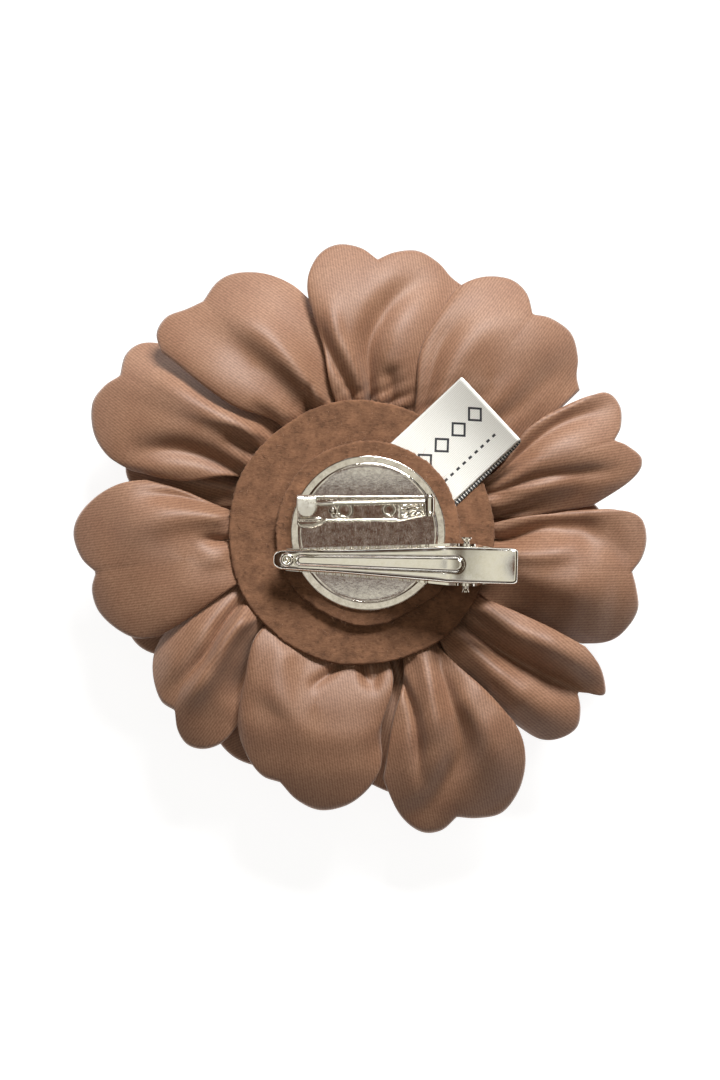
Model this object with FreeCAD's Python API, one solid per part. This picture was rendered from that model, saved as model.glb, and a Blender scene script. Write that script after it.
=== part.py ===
import FreeCAD, Part
import math
import os

from FreeCAD import Vector

# Fabric flower on a two-way finding: a sprung alligator clip and a hinged bar pin share one pressed disc.
# The flower lies face down. +Z points out of its back, +X runs along the clip towards the lever, and the
# origin is the middle of the flat crown of the centre button. Millimetres and degrees throughout.

# Petals: shell thickness, lean about their own radius, and the depth line of each ring as (radius, height)
PETAL_THICKNESS = 0.8
PETAL_LEAN = 7.0
BACK_LINE = [(11.0, 15.2), (24.0, 16.4), (38.0, 18.4), (47.0, 17.2), (60.0, 11.6)]
MIDDLE_LINE = [(9.0, 11.2), (24.0, 12.6), (36.0, 13.2), (43.0, 11.6), (50.0, 8.6)]
FRONT_LINE = [(8.0, 8.9), (20.0, 8.7), (30.0, 6.6), (36.0, 3.4), (40.0, 0.6)]

# Back ring, counter-clockwise: where two petals cross, and each petal's lobe, notch and lobe (degrees, radius)
BACK_CROSSINGS = [(7, 42.5), (34, 46.5), (69, 48.0), (104, 43.5), (137, 50.5), (168, 46.5),
                  (208, 43.0), (236, 42.0), (272, 45.5), (308, 45.0), (332, 46.0)]
BACK_LOBES = [((15, 51.6), (20.6, 47.6), (28, 51.5)), ((43, 51.8), (53, 49.6), (61, 52.8)),
              ((79, 52.0), (88, 49.2), (96, 52.6)), ((118, 53.4), (126, 51.0), (132, 53.6)),
              ((143, 55.0), (147, 53.2), (154, 55.6)), ((180, 53.4), (188, 49.8), (194, 51.3)),
              ((217, 48.4), (223, 48.0), (228, 50.6)), ((246, 48.4), (250, 49.2), (259, 51.2)),
              ((281, 55.6), (287, 53.8), (295, 56.6)), ((316, 52.2), (323, 48.6), (328, 50.6)),
              ((343, 51.0), (351, 48.4), (359, 50.6))]

# Regular rings: petal count, turn of the first petal, lobe radius, notch radius
MIDDLE_RING = (9, 10.0, 47.5, 45.0)
FRONT_RING = (7, 4.0, 37.0, 34.6)

# Gathering threads: ring radius, thread radius, height
GATHERS = {"back_gather_thread": (12.3, 0.3, 16.9), "middle_gather_thread": (10.3, 0.3, 12.8),
           "front_gather_thread": (9.7, 0.25, 8.2)}

# Stiffening discs between the rings: radius, underside, thickness, and the hole the centre stitch runs in
CORE_DISCS = {"back_core_disc": (14.0, 13.35, 1.0), "front_core_disc": (12.0, 10.15, 0.5)}
STITCH_RADIUS = 0.6
STITCH_HOLE_RADIUS = 0.7

# Covered centre button
BUTTON_RADIUS = 9.0
BUTTON_CROWN_RADIUS = 5.5
BUTTON_HEIGHT = 7.6
BUTTON_CLOTH = 0.6
BUTTON_SHELL = 0.5

# Felts
BIG_FELT_RADIUS = 23.9
BIG_FELT_CENTRE = (-1.3, 0.0)
BIG_FELT_Z = 18.3
BIG_FELT_THICKNESS = 1.5
SMALL_FELT_RADIUS = 16.6
SMALL_FELT_THICKNESS = 1.6
SMALL_FELT_CUT_ANGLE = -60.0
SMALL_FELT_CUT_DISTANCE = 15.9

# Folded woven label, which runs out from between the felts
LABEL_WIDTH = 15.6
LABEL_ANGLE = 43.0
LABEL_SIDE_SHIFT = 1.3
LABEL_INNER = 10.0
LABEL_BEND = 20.0
LABEL_OUTER = 31.2
LABEL_RISE = 2.0
LABEL_THICKNESS = 0.5

# Pressed metal disc
DISC_RADIUS = 14.0
DISC_LIP = 0.8
DISC_FLOOR_RADIUS = 12.15
DISC_RAISE = 0.7
SHEET = 0.5

# Bar pin: plan outline, holes, catch and hinge
BAR_BACK_Y = 6.7
BAR_FRONT_Y = 2.0
BAR_HOLES = [(-4.2, 4.1, 1.3), (3.85, 4.2, 1.1)]
COLLAR_HEIGHT = 0.1
CATCH_X = (-12.8, -9.2)
CATCH_FRONT_Y = 2.9
HINGE_X = 11.0
HINGE_RIVET_RADIUS = 0.45
HINGE_GAP = 0.05
KNUCKLE_RADIUS = 0.95
NEEDLE_RADIUS = 0.45
NEEDLE_Y = 5.6
NEEDLE_HEIGHT = 1.9
NEEDLE_SHAFT = 16.0
NEEDLE_TIP = -12.2
NEEDLE_TILT = 1.3
FLEX_X = 9.7

# Alligator clip, in its own line: X along the jaws, Y across, then skewed onto the disc
CLIP_SHIFT_Y = -5.2
CLIP_SKEW = -1.6
CLIP_SHEET = 0.45
PIVOT_X = 17.5
PIVOT_HEIGHT = 4.8
CLIP_RIVET_RADIUS = 0.55
CLIP_RIVET_HALF_LENGTH = 4.9
TOOTH_PITCH = 1.5
TOOTH_RADIUS = 0.42

# Heights that follow from the stack
LABEL_Z = BIG_FELT_Z + BIG_FELT_THICKNESS
DISC_Z = LABEL_Z + SMALL_FELT_THICKNESS
FLOOR_Z = DISC_Z + SHEET + DISC_RAISE
NEEDLE_Z = FLOOR_Z + NEEDLE_HEIGHT
PIVOT_Z = FLOOR_Z + PIVOT_HEIGHT

UP = Vector(0, 0, 1)
TALL = 60.0


def polar(radius, degrees, z=0.0):
    """Point at a radius and an angle from +X."""
    a = math.radians(degrees)
    return Vector(radius * math.cos(a), radius * math.sin(a), z)


def smooth_edge(points, closed=False):
    """One smooth curve through the points."""
    curve = Part.BSplineCurve()
    curve.interpolate(points, PeriodicFlag=closed)
    return curve.toShape()


def prism(wire, low, high):
    """Closed plan outline at z = 0, pulled up between two heights."""
    face = Part.Face(wire)
    face.translate(Vector(0, 0, low))
    return face.extrude(Vector(0, 0, high - low))


def disc(radius, low, high, x=0.0, y=0.0):
    """Upright cylinder."""
    return Part.makeCylinder(radius, high - low, Vector(x, y, low), UP)


def box(low, high):
    """Box between two corners."""
    size = [b - a for a, b in zip(low, high)]
    return Part.makeBox(*size, Vector(*low))


def cross_cylinder(radius, x, z, y0, y1):
    """Cylinder that runs along Y."""
    return Part.makeCylinder(radius, y1 - y0, Vector(x, y0, z), Vector(0, 1, 0))


def straight_wire(radius, start, end):
    """Round wire between two points."""
    return Part.makeCylinder(radius, (end - start).Length, start, end - start)


def shell_strip(line, start, end):
    """Part of a round shell of petal thickness, whose section is the depth line, between two angles."""
    low = [Vector(r, 0, z) for r, z in line]
    high = [Vector(r, 0, z + PETAL_THICKNESS) for r, z in line]
    edges = [smooth_edge(low), Part.makeLine(low[-1], high[-1]),
             smooth_edge(high), Part.makeLine(high[0], low[0])]
    face = Part.Face(Part.Wire(Part.__sortEdges__(edges)))
    face.rotate(Vector(), UP, start)
    return face.revolve(Vector(), UP, end - start)


def petal(line, near, lobes, far):
    """Two-lobed petal, cut from the shell by its plan outline and leaned about its own middle line.

    near and far are the crossings with the neighbours; past them the petal reaches on by an overlap.
    """
    root = line[0][0]
    middle = (near[0] + far[0]) / 2
    slim, level, overlap = 0.55, 0.8, 2.5
    side = [(root, slim), (24.0 if root > 10 else 2.1 * root, level)]
    low = [(r, middle + (near[0] - middle) * share) for r, share in side]
    high = [(r, middle + (far[0] - middle) * share) for r, share in side]
    low += [(near[1] * 0.78, near[0] - overlap), (near[1], near[0] - 1.0)]
    high += [(far[1] * 0.78, far[0] + overlap), (far[1], far[0] + 1.0)]
    points = [polar(r, a) for r, a in low]
    points += [polar(r, a) for a, r in lobes]
    points += [polar(r, a) for r, a in reversed(high)]
    outline = Part.Wire([smooth_edge(points), Part.makeLine(points[-1], points[0])])
    reach = 8.0
    shape = shell_strip(line, near[0] - reach, far[0] + reach).common(prism(outline, -10.0, TALL))
    shape.rotate(Vector(0, 0, line[0][1]), polar(1.0, middle), PETAL_LEAN)
    return shape


def back_petals():
    """The uneven outer ring."""
    nodes = {}
    count = len(BACK_LOBES)
    for i, lobes in enumerate(BACK_LOBES):
        near = BACK_CROSSINGS[i]
        far = BACK_CROSSINGS[(i + 1) % count]
        if far[0] < near[0]:
            far = (far[0] + 360, far[1])
        nodes[f"back_petal_{i + 1:02d}"] = petal(BACK_LINE, near, lobes, far)
    return nodes


def regular_petals(name, line, ring):
    """A ring of equal petals that overlap by the same amount."""
    count, turn, lobe_radius, notch_radius = ring
    half = 180.0 / count
    nodes = {}
    for i in range(count):
        a = turn + 2 * half * i
        lobes = [(a - 0.42 * half, lobe_radius), (a, notch_radius), (a + 0.42 * half, lobe_radius)]
        crossing = lobe_radius * 0.86
        near, far = (a - half, crossing), (a + half, crossing)
        nodes[f"{name}_{i + 1:02d}"] = petal(line, near, lobes, far)
    return nodes


def gathers_and_cores():
    """Gathering threads, stiffening discs and the stitch through the middle."""
    nodes = {}
    for name, (ring_radius, thread_radius, z) in GATHERS.items():
        nodes[name] = Part.makeTorus(ring_radius, thread_radius, Vector(0, 0, z), UP)
    for name, (radius, z, thickness) in CORE_DISCS.items():
        nodes[name] = disc(radius, z, z + thickness).cut(disc(STITCH_HOLE_RADIUS, z - 1, z + thickness + 1))
    nodes["centre_stitch"] = disc(STITCH_RADIUS, BUTTON_HEIGHT + 1.4, BIG_FELT_Z)
    return nodes


def dome(crown, radius, low, high):
    """Solid button form: flat crown below, quarter-round side, open edge above."""
    side = high - low
    shoulder = Vector(crown + (radius - crown) * math.sin(math.radians(45)), 0,
                      low + 0.7 * side * (1 - math.cos(math.radians(45))))
    top_of_round = Vector(radius, 0, low + 0.7 * side)
    edges = [Part.makeLine(Vector(0, 0, low), Vector(crown, 0, low)),
             Part.Arc(Vector(crown, 0, low), shoulder, top_of_round).toShape(),
             Part.makeLine(top_of_round, Vector(radius, 0, high)),
             Part.makeLine(Vector(radius, 0, high), Vector(0, 0, high)),
             Part.makeLine(Vector(0, 0, high), Vector(0, 0, low))]
    return Part.Face(Part.Wire(edges)).revolve(Vector(), UP, 360)


def button():
    """Cloth cover, pressed shell, back plate and sewing shank."""
    plate = 0.6
    shell_low = BUTTON_CLOTH
    inner_low = BUTTON_CLOTH + BUTTON_SHELL
    high = BUTTON_HEIGHT
    body = dome(BUTTON_CROWN_RADIUS, BUTTON_RADIUS, 0.0, high)
    shell = dome(BUTTON_CROWN_RADIUS, BUTTON_RADIUS - BUTTON_CLOTH, shell_low, high)
    hollow = dome(BUTTON_CROWN_RADIUS, BUTTON_RADIUS - BUTTON_CLOTH - BUTTON_SHELL, inner_low, high)
    back_radius = BUTTON_RADIUS - BUTTON_CLOTH - BUTTON_SHELL
    return {
        "button_cover": body.cut(shell),
        "button_shell": shell.cut(hollow),
        "button_back": disc(back_radius, high - plate, high),
        "button_shank": disc(1.6, high, high + 1.4).cut(cross_cylinder(0.5, 0, high + 0.7, -2, 2)),
    }


def felts_and_label():
    """Two felt discs with the woven label between them."""
    wobble = [0.2, -0.15, 0.1, 0.25, -0.2, 0.0, 0.3, -0.1, 0.15, -0.25, 0.1, -0.05]
    step = 360.0 / len(wobble)
    centre = Vector(*BIG_FELT_CENTRE, 0)
    rim = [polar(BIG_FELT_RADIUS + w, step * i) + centre for i, w in enumerate(wobble)]
    big = prism(Part.Wire(smooth_edge(rim, closed=True)), BIG_FELT_Z, LABEL_Z)

    half = LABEL_WIDTH / 2
    low, thick = LABEL_Z, LABEL_THICKNESS
    lift = low + LABEL_RISE
    section = Part.makePolygon([Vector(LABEL_INNER, 0, low), Vector(LABEL_BEND, 0, low),
                                Vector(LABEL_OUTER, 0, lift), Vector(LABEL_OUTER, 0, lift + thick),
                                Vector(LABEL_BEND, 0, low + thick), Vector(LABEL_INNER, 0, low + thick),
                                Vector(LABEL_INNER, 0, low)])
    section.translate(Vector(0, LABEL_SIDE_SHIFT - half, 0))
    label = Part.Face(section).extrude(Vector(0, LABEL_WIDTH, 0))
    label.rotate(Vector(), UP, LABEL_ANGLE)

    small = disc(SMALL_FELT_RADIUS, LABEL_Z, DISC_Z)
    trim = box((SMALL_FELT_CUT_DISTANCE, -20, LABEL_Z - 1), (40, 20, DISC_Z + 1))
    trim.rotate(Vector(), UP, SMALL_FELT_CUT_ANGLE)
    small = small.cut(trim).cut(label)
    return {"big_felt": big, "small_felt": small, "label": label}


def metal_disc():
    """Pressed disc: flat lip, round shoulder, raised flat floor, hollow underneath."""
    def profile(drop):
        z0, z1 = DISC_Z + SHEET - drop, FLOOR_Z - drop
        lip = DISC_RADIUS - DISC_LIP
        mid = Vector((lip + DISC_FLOOR_RADIUS) / 2 + 0.15, 0, (z0 + z1) / 2 + 0.12)
        return [Part.makeLine(Vector(DISC_RADIUS, 0, z0), Vector(lip, 0, z0)),
                Part.Arc(Vector(lip, 0, z0), mid, Vector(DISC_FLOOR_RADIUS, 0, z1)).toShape(),
                Part.makeLine(Vector(DISC_FLOOR_RADIUS, 0, z1), Vector(0, 0, z1))]
    rim = Part.makeLine(Vector(DISC_RADIUS, 0, DISC_Z), Vector(DISC_RADIUS, 0, DISC_Z + SHEET))
    axis = Part.makeLine(Vector(0, 0, FLOOR_Z - SHEET), Vector(0, 0, FLOOR_Z))
    edges = Part.__sortEdges__(profile(0) + profile(SHEET) + [rim, axis])
    return Part.Face(Part.Wire(edges)).revolve(Vector(), UP, 360)


def bar_pin():
    """Bar with catch and ears, hinge rivet, needle knuckle and the needle itself."""
    z0, z1 = FLOOR_Z, FLOOR_Z + SHEET
    back, front = BAR_BACK_Y, BAR_FRONT_Y
    left, right = CATCH_X[0] + 0.1, HINGE_X + 0.95
    outline = Part.makePolygon([Vector(left, back, 0), Vector(left, 1.4, 0), Vector(left + 0.6, 0.9, 0),
                                Vector(-9.8, 0.9, 0), Vector(-7.6, front, 0), Vector(7.8, front, 0),
                                Vector(right, 3.3, 0), Vector(right, back, 0), Vector(left, back, 0)])
    bar = prism(outline, z0, z1)
    for x, y, radius in BAR_HOLES:
        bar = bar.cut(disc(radius, z0 - 1, z1 + 1, x, y))
        collar = disc(radius + 0.3, z0, z1 + COLLAR_HEIGHT, x, y).cut(disc(radius, z0 - 1, z1 + 1, x, y))
        bar = bar.fuse(collar)
    lip = box((-7.4, back - 0.35, z0), (HINGE_X - 1.6, back, z1 + 0.15))
    bar = bar.fuse(lip).fuse(Part.makeSphere(0.45, Vector(-6.2, 4.1, z1)).common(
        box((-8, 2, z0 + 0.1), (-5, 6, z1 + 1))))

    # the catch: a wall up from the back edge and a round-ended flap folded over the needle
    roof = NEEDLE_Z + 1.0
    wall = box((CATCH_X[0], back - 0.42, z0), (CATCH_X[1], back, roof + 0.42))
    middle_x = (CATCH_X[0] + CATCH_X[1]) / 2
    half = (CATCH_X[1] - CATCH_X[0]) / 2
    flap = box((CATCH_X[0], CATCH_FRONT_Y + half, roof), (CATCH_X[1], back, roof + 0.42))
    flap = flap.fuse(disc(half, roof, roof + 0.42, middle_x, CATCH_FRONT_Y + half))
    catch = wall.fuse(flap)

    # the hinge: two upright ears with the rivet across them
    ear_low, ear_high = (3.3, 3.75), (back - 0.4, back)
    rivet_hole = HINGE_RIVET_RADIUS + 0.01
    for y0, y1 in (ear_low, ear_high):
        ear = box((HINGE_X - 0.95, y0, z0), (HINGE_X + 0.95, y1, NEEDLE_Z))
        ear = ear.fuse(cross_cylinder(0.95, HINGE_X, NEEDLE_Z, y0, y1))
        catch = catch.fuse(ear)
    bar = bar.fuse(catch).cut(cross_cylinder(rivet_hole, HINGE_X, NEEDLE_Z, ear_low[0] - 1, back + 1))
    bar = bar.removeSplitter()

    head = 0.3
    rivet = cross_cylinder(HINGE_RIVET_RADIUS, HINGE_X, NEEDLE_Z, ear_low[0] - head, back + head)
    for y0 in (ear_low[0] - head, back):
        rivet = rivet.fuse(cross_cylinder(0.75, HINGE_X, NEEDLE_Z, y0, y0 + head))

    # the knuckle turns on the rivet; a short neck on it carries the needle
    free = 0.12
    knuckle = cross_cylinder(KNUCKLE_RADIUS, HINGE_X, NEEDLE_Z, ear_low[1] + free, ear_high[0] - free)
    neck = Part.makeCylinder(NEEDLE_RADIUS, HINGE_X - FLEX_X - HINGE_GAP, Vector(HINGE_X, NEEDLE_Y, NEEDLE_Z),
                             Vector(-1, 0, 0))
    bore = cross_cylinder(HINGE_RIVET_RADIUS + HINGE_GAP, HINGE_X, NEEDLE_Z, 0, 10)
    knuckle = knuckle.fuse(neck).cut(bore)

    shaft_end = FLEX_X - NEEDLE_SHAFT
    start = Vector(FLEX_X, NEEDLE_Y, NEEDLE_Z)
    needle = Part.makeCylinder(NEEDLE_RADIUS, NEEDLE_SHAFT, start, Vector(-1, 0, 0))
    needle = needle.fuse(Part.makeCone(NEEDLE_RADIUS, 0.1, shaft_end - NEEDLE_TIP,
                                       Vector(shaft_end, NEEDLE_Y, NEEDLE_Z), Vector(-1, 0, 0)))
    needle.rotate(start, UP, NEEDLE_TILT)
    return {"pin_bar": bar, "pin_hinge_rivet": rivet, "pin_knuckle": knuckle, "pin_needle": needle}


def place_clip(shape):
    """From the clip's own line to its place on the disc."""
    shape.rotate(Vector(), UP, CLIP_SKEW)
    shape.translate(Vector(0, CLIP_SHIFT_Y, 0))
    return shape


def trough(stations, open_up):
    """Tapered channel of sheet metal: a loft through (x, half width, low, high), hollowed by the sheet."""
    def ring(x, half, low, high):
        points = [Vector(x, -half, low), Vector(x, -half, high), Vector(x, half, high),
                  Vector(x, half, low), Vector(x, -half, low)]
        return Part.makePolygon(points)
    outer = Part.makeLoft([ring(*s) for s in stations], True, True)
    t, over = CLIP_SHEET, 3.0
    if open_up:
        hollow = [(x, half - t, low + t, high + over) for x, half, low, high in stations]
    else:
        hollow = [(x, half - t, low - over, high - t) for x, half, low, high in stations]
    first, last = hollow[0], hollow[-1]
    hollow = [(first[0] - 1, *first[1:])] + hollow + [(last[0] + 1, *last[1:])]
    return outer.cut(Part.makeLoft([ring(*s) for s in hollow], True, True))


def rounded_plan(x0, x1, half0, half1, bulge):
    """Plan outline of a jaw: half-round nose, straight tapered sides, bowed tail."""
    nose = Part.Arc(Vector(x0 + half0, half0, 0), Vector(x0, 0, 0), Vector(x0 + half0, -half0, 0)).toShape()
    tail = Part.Arc(Vector(x1 - bulge, -half1, 0), Vector(x1, 0, 0), Vector(x1 - bulge, half1, 0)).toShape()
    lower = Part.makeLine(Vector(x0 + half0, -half0, 0), Vector(x1 - bulge, -half1, 0))
    upper = Part.makeLine(Vector(x1 - bulge, half1, 0), Vector(x0 + half0, half0, 0))
    return Part.Wire(Part.__sortEdges__([nose, lower, tail, upper]))


def teeth(first_x, last_x, half, z_at):
    """Round cutters across both walls at the tooth pitch, centred on the wall's edge."""
    count = int((last_x - first_x) / TOOTH_PITCH)
    xs = [first_x + TOOTH_PITCH * i for i in range(count + 1)]
    return Part.makeCompound([cross_cylinder(TOOTH_RADIUS, x, z_at(x), -half, half) for x in xs])


def lower_jaw():
    """Wide channel on the disc: toothed walls, two ears for the rivet and a short flat lever."""
    base = FLOOR_Z
    stations = [(-15.2, 1.9, base, base + 0.9), (-5.0, 2.6, base, base + 1.6), (8.6, 3.3, base, base + 2.5),
                (14.5, 3.75, base, base + 3.6), (19.5, 3.75, base, base + 3.4), (20.6, 3.4, base, base + 1.2),
                (23.2, 3.1, base, base + 0.9)]
    jaw = trough(stations, open_up=True)
    jaw = jaw.common(prism(rounded_plan(-15.2, 23.2, 1.6, 3.8, 1.0).makeOffset2D(0.6), base - 1, TALL))
    ear_out, ear_in = 3.75, 3.75 - CLIP_SHEET
    for y0, y1 in ((-ear_out, -ear_in), (ear_in, ear_out)):
        ear = cross_cylinder(1.9, PIVOT_X, PIVOT_Z, y0, y1)
        ear = ear.fuse(box((PIVOT_X - 1.9, y0, base + 1), (PIVOT_X + 1.9, y1, PIVOT_Z)))
        jaw = jaw.fuse(ear)
    jaw = jaw.cut(teeth(-12.0, 10.5, 5.0, lambda x: base + 1.6 + 0.066 * (x + 5.0) + 0.1))
    jaw = jaw.cut(cross_cylinder(CLIP_RIVET_RADIUS + 0.01, PIVOT_X, PIVOT_Z, -6, 6))
    return jaw.removeSplitter()


def top_jaw():
    """Narrow channel over the lower jaw: raised rib, eyelet at the nose, ears and a bowed lever."""
    base = FLOOR_Z
    nose_x, tail_x = -17.1, 26.6
    stations = [(nose_x, 1.55, base + 1.3, base + 2.4), (-5.0, 1.9, base + 2.2, base + 4.0),
                (12.0, 3.0, base + 4.1, base + 6.5), (14.5, 3.15, base + 5.0, base + 7.0),
                (20.5, 3.15, base + 6.6, base + 8.6), (24.0, 3.15, base + 8.3, base + 9.0),
                (25.6, 3.15, base + 8.0, base + 8.7), (tail_x, 3.15, base + 7.1, base + 7.9)]
    jaw = trough(stations, open_up=False)
    jaw = jaw.common(prism(rounded_plan(nose_x, tail_x, 1.6, 3.3, 0.6).makeOffset2D(0.3), base - 1, TALL))
    nose_cap = trough([(nose_x + 0.1, 1.5, base + 1.3, base + 2.4), (nose_x + 0.55, 1.5, base + 1.3, base + 2.4)],
                      open_up=False)
    jaw = jaw.fuse(nose_cap.common(prism(rounded_plan(nose_x, tail_x, 1.6, 3.3, 0.6), base - 1, TALL)))
    for y0, y1 in ((-3.15, -3.15 + CLIP_SHEET), (3.15 - CLIP_SHEET, 3.15)):
        ear = cross_cylinder(1.7, PIVOT_X, PIVOT_Z, y0, y1)
        ear = ear.fuse(box((PIVOT_X - 1.5, y0, PIVOT_Z), (PIVOT_X + 1.5, y1, base + 7.0)))
        jaw = jaw.fuse(ear)
    jaw = jaw.cut(cross_cylinder(CLIP_RIVET_RADIUS + 0.06, PIVOT_X, PIVOT_Z, -6, 6))

    # the rib is a slim spindle sunk into the sloping plate, and the eyelet a ring at the nose
    half_rib, rib_radius = 13.2, 1.1
    spindle = Part.Face(Part.Wire([
        Part.Arc(Vector(-half_rib, 0, 0), Vector(0, 0, rib_radius), Vector(half_rib, 0, 0)).toShape(),
        Part.makeLine(Vector(half_rib, 0, 0), Vector(-half_rib, 0, 0))])).revolve(Vector(), Vector(1, 0, 0), 360)
    slope = math.degrees(math.atan2(2.5, 17.0))
    spindle.rotate(Vector(), Vector(0, 1, 0), -slope)
    spindle.translate(Vector(2.0, 0, base + 4.0 + 7.0 * 2.5 / 17.0 - 0.55))
    under = box((-20, -5, base), (20, 5, base + 4.6))
    under.rotate(Vector(-5.0, 0, base + 4.0), Vector(0, 1, 0), -slope)
    under.translate(Vector(0, 0, -4.6 - 0.3 + 4.0))
    jaw = jaw.fuse(spindle.cut(under))
    eyelet = Part.makeTorus(0.95, 0.22, Vector(-14.6, 0, base + 2.75), Vector(-0.13, 0, 1))
    return jaw.fuse(eyelet).removeSplitter()


def clip():
    """Both jaws, the hollow pivot rivet and the torsion spring."""
    neck, bore, flare = CLIP_RIVET_RADIUS, 0.3, 1.0
    end = CLIP_RIVET_HALF_LENGTH
    profile = Part.makePolygon([Vector(bore, -end, 0), Vector(flare, -end, 0), Vector(flare, -end + 0.25, 0),
                                Vector(neck, -end + 0.75, 0), Vector(neck, end - 0.6, 0),
                                Vector(0.75, end - 0.2, 0), Vector(0.75, end, 0), Vector(bore, end, 0),
                                Vector(bore, -end, 0)])
    rivet = Part.Face(profile).revolve(Vector(), Vector(0, 1, 0), 360)
    rivet.rotate(Vector(), Vector(1, 0, 0), 180)
    rivet.translate(Vector(PIVOT_X, 0, PIVOT_Z))

    coil_out, coil_in, half, wire = 1.7, 1.2, 2.2, 0.2
    spring = cross_cylinder(coil_out, PIVOT_X, PIVOT_Z, -half, half)
    spring = spring.cut(cross_cylinder(coil_in, PIVOT_X, PIVOT_Z, -half - 1, half + 1))
    mean = (coil_out + coil_in) / 2
    leg_y = half - 1.5 * wire
    low_leg = straight_wire(wire, Vector(PIVOT_X, -leg_y, PIVOT_Z - mean),
                            Vector(PIVOT_X + 4.4, -leg_y, FLOOR_Z + CLIP_SHEET + wire + 0.05))
    high_leg = straight_wire(wire, Vector(PIVOT_X, leg_y, PIVOT_Z + mean),
                             Vector(PIVOT_X + 5.5, leg_y, FLOOR_Z + 7.9))
    spring = spring.fuse([low_leg, high_leg])
    shapes = {"clip_lower_jaw": lower_jaw(), "clip_top_jaw": top_jaw(),
              "clip_pivot_rivet": rivet, "clip_spring": spring}
    return {name: place_clip(shape) for name, shape in shapes.items()}


def one_solid(name, shape):
    """The single solid of a node, with a clear message when there is not exactly one."""
    solids = shape.Solids
    if len(solids) != 1 or not solids[0].isValid():
        print("check", name, len(solids), [round(s.Volume, 3) for s in solids], [s.isValid() for s in solids])
    return max(solids, key=lambda s: s.Volume)


def main():
    """Build every node and write one STEP file for each."""
    nodes = {}
    nodes.update(back_petals())
    nodes.update(regular_petals("middle_petal", MIDDLE_LINE, MIDDLE_RING))
    nodes.update(regular_petals("front_petal", FRONT_LINE, FRONT_RING))
    nodes.update(gathers_and_cores())
    nodes.update(button())
    nodes.update(felts_and_label())
    nodes["metal_disc"] = metal_disc()
    nodes.update(bar_pin())
    nodes.update(clip())
    os.makedirs("parts", exist_ok=True)
    for name, shape in nodes.items():
        one_solid(name, shape).exportStep(f"parts/{name}.step")
    low = min(s.BoundBox.ZMin for s in nodes.values())
    high = max(s.BoundBox.ZMax for s in nodes.values())
    print(f"{len(nodes)} nodes, z from {low:.2f} to {high:.2f}")


main()
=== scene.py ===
import math

import bpy
import numpy as np
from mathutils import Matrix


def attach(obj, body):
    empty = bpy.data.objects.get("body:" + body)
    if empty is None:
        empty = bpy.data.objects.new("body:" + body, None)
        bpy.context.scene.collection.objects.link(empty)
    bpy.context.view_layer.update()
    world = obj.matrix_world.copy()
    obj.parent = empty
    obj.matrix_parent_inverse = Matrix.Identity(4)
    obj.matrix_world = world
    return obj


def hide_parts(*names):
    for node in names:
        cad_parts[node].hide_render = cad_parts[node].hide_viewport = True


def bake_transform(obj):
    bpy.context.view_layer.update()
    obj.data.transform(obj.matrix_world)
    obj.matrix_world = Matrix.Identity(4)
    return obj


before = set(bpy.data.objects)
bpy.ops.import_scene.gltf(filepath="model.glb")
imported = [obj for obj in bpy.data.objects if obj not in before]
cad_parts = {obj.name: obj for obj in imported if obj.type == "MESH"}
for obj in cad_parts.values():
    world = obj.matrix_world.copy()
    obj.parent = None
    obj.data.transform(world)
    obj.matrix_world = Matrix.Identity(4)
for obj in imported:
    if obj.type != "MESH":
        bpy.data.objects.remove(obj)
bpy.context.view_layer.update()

MM = 0.001

# The two backing felts and the petals' cloth, in millimetres
LARGE_FELT_RADIUS, LARGE_FELT_SHIFT = 23.9, -1.3
LARGE_FELT_LOW, LARGE_FELT_HIGH = 18.3, 19.8
SMALL_FELT_RADIUS, SMALL_FELT_HIGH = 16.6, 21.4
SATIN_WALL = 0.7
# The metal disc's floor, the two rivets as (X, Z), and the jaws' turn in degrees and shift along Y
DISC_FLOOR = 22.6
JAW_RIVET, JAW_TURN, JAW_SHIFT = (17.5, 27.4), -1.6, -5.2
PIN_RIVET = (11.0, 24.5)


# ---------------------------------------------------------------- small helpers

def linear(hex_colour):
    """sRGB hex to the opaque linear colour that a shader takes."""
    parts = [int(hex_colour[i:i + 2], 16) / 255 for i in (1, 3, 5)]
    return tuple(c / 12.92 if c <= 0.04045 else ((c + 0.055) / 1.055) ** 2.4 for c in parts) + (1.0,)


def smoothstep(x):
    """0 below 0, 1 above 1, 3x^2 - 2x^3 between."""
    x = np.clip(x, 0.0, 1.0)
    return x * x * (3 - 2 * x)


def node(tree, kind, settings=None, links=None, stops=()):
    """Adds a node.

    settings are attributes or input values by name or index, links join inputs to outputs, and stops are a
    colour ramp's (position, hex colour) pairs.
    """
    made = tree.nodes.new(kind)
    for key, value in (settings or {}).items():
        if isinstance(key, str) and hasattr(made, key):
            setattr(made, key, value)
        else:
            made.inputs[key].default_value = value
    for key, source in (links or {}).items():
        tree.links.new(source, made.inputs[key])
    elements = made.color_ramp.elements if stops else ()
    for _ in range(len(stops) - len(elements)):
        elements.new(0.5)
    for element, (place, colour) in zip(elements, stops):
        element.position = place
        element.color = linear(colour)
    return made


def new_material(name, **surface):
    """Material with one Principled shader; surface holds its plain socket values."""
    made = bpy.data.materials.new(name)
    made.use_nodes = True
    tree = made.node_tree
    tree.nodes.clear()
    shader = node(tree, "ShaderNodeBsdfPrincipled", {k.replace("_", " "): v for k, v in surface.items()})
    node(tree, "ShaderNodeOutputMaterial", links={"Surface": shader.outputs[0]})
    return made, tree, shader


def finish_surface(tree, shader, colour, height, strength, distance):
    """Joins a colour to the shader, and a height pattern as relief of that strength and depth in metres."""
    tree.links.new(colour, shader.inputs["Base Color"])
    bump = node(tree, "ShaderNodeBump", {"Strength": strength, "Distance": distance}, {"Height": height})
    tree.links.new(bump.outputs[0], shader.inputs["Normal"])


# ---------------------------------------------------------------- meshes from arrays

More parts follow.
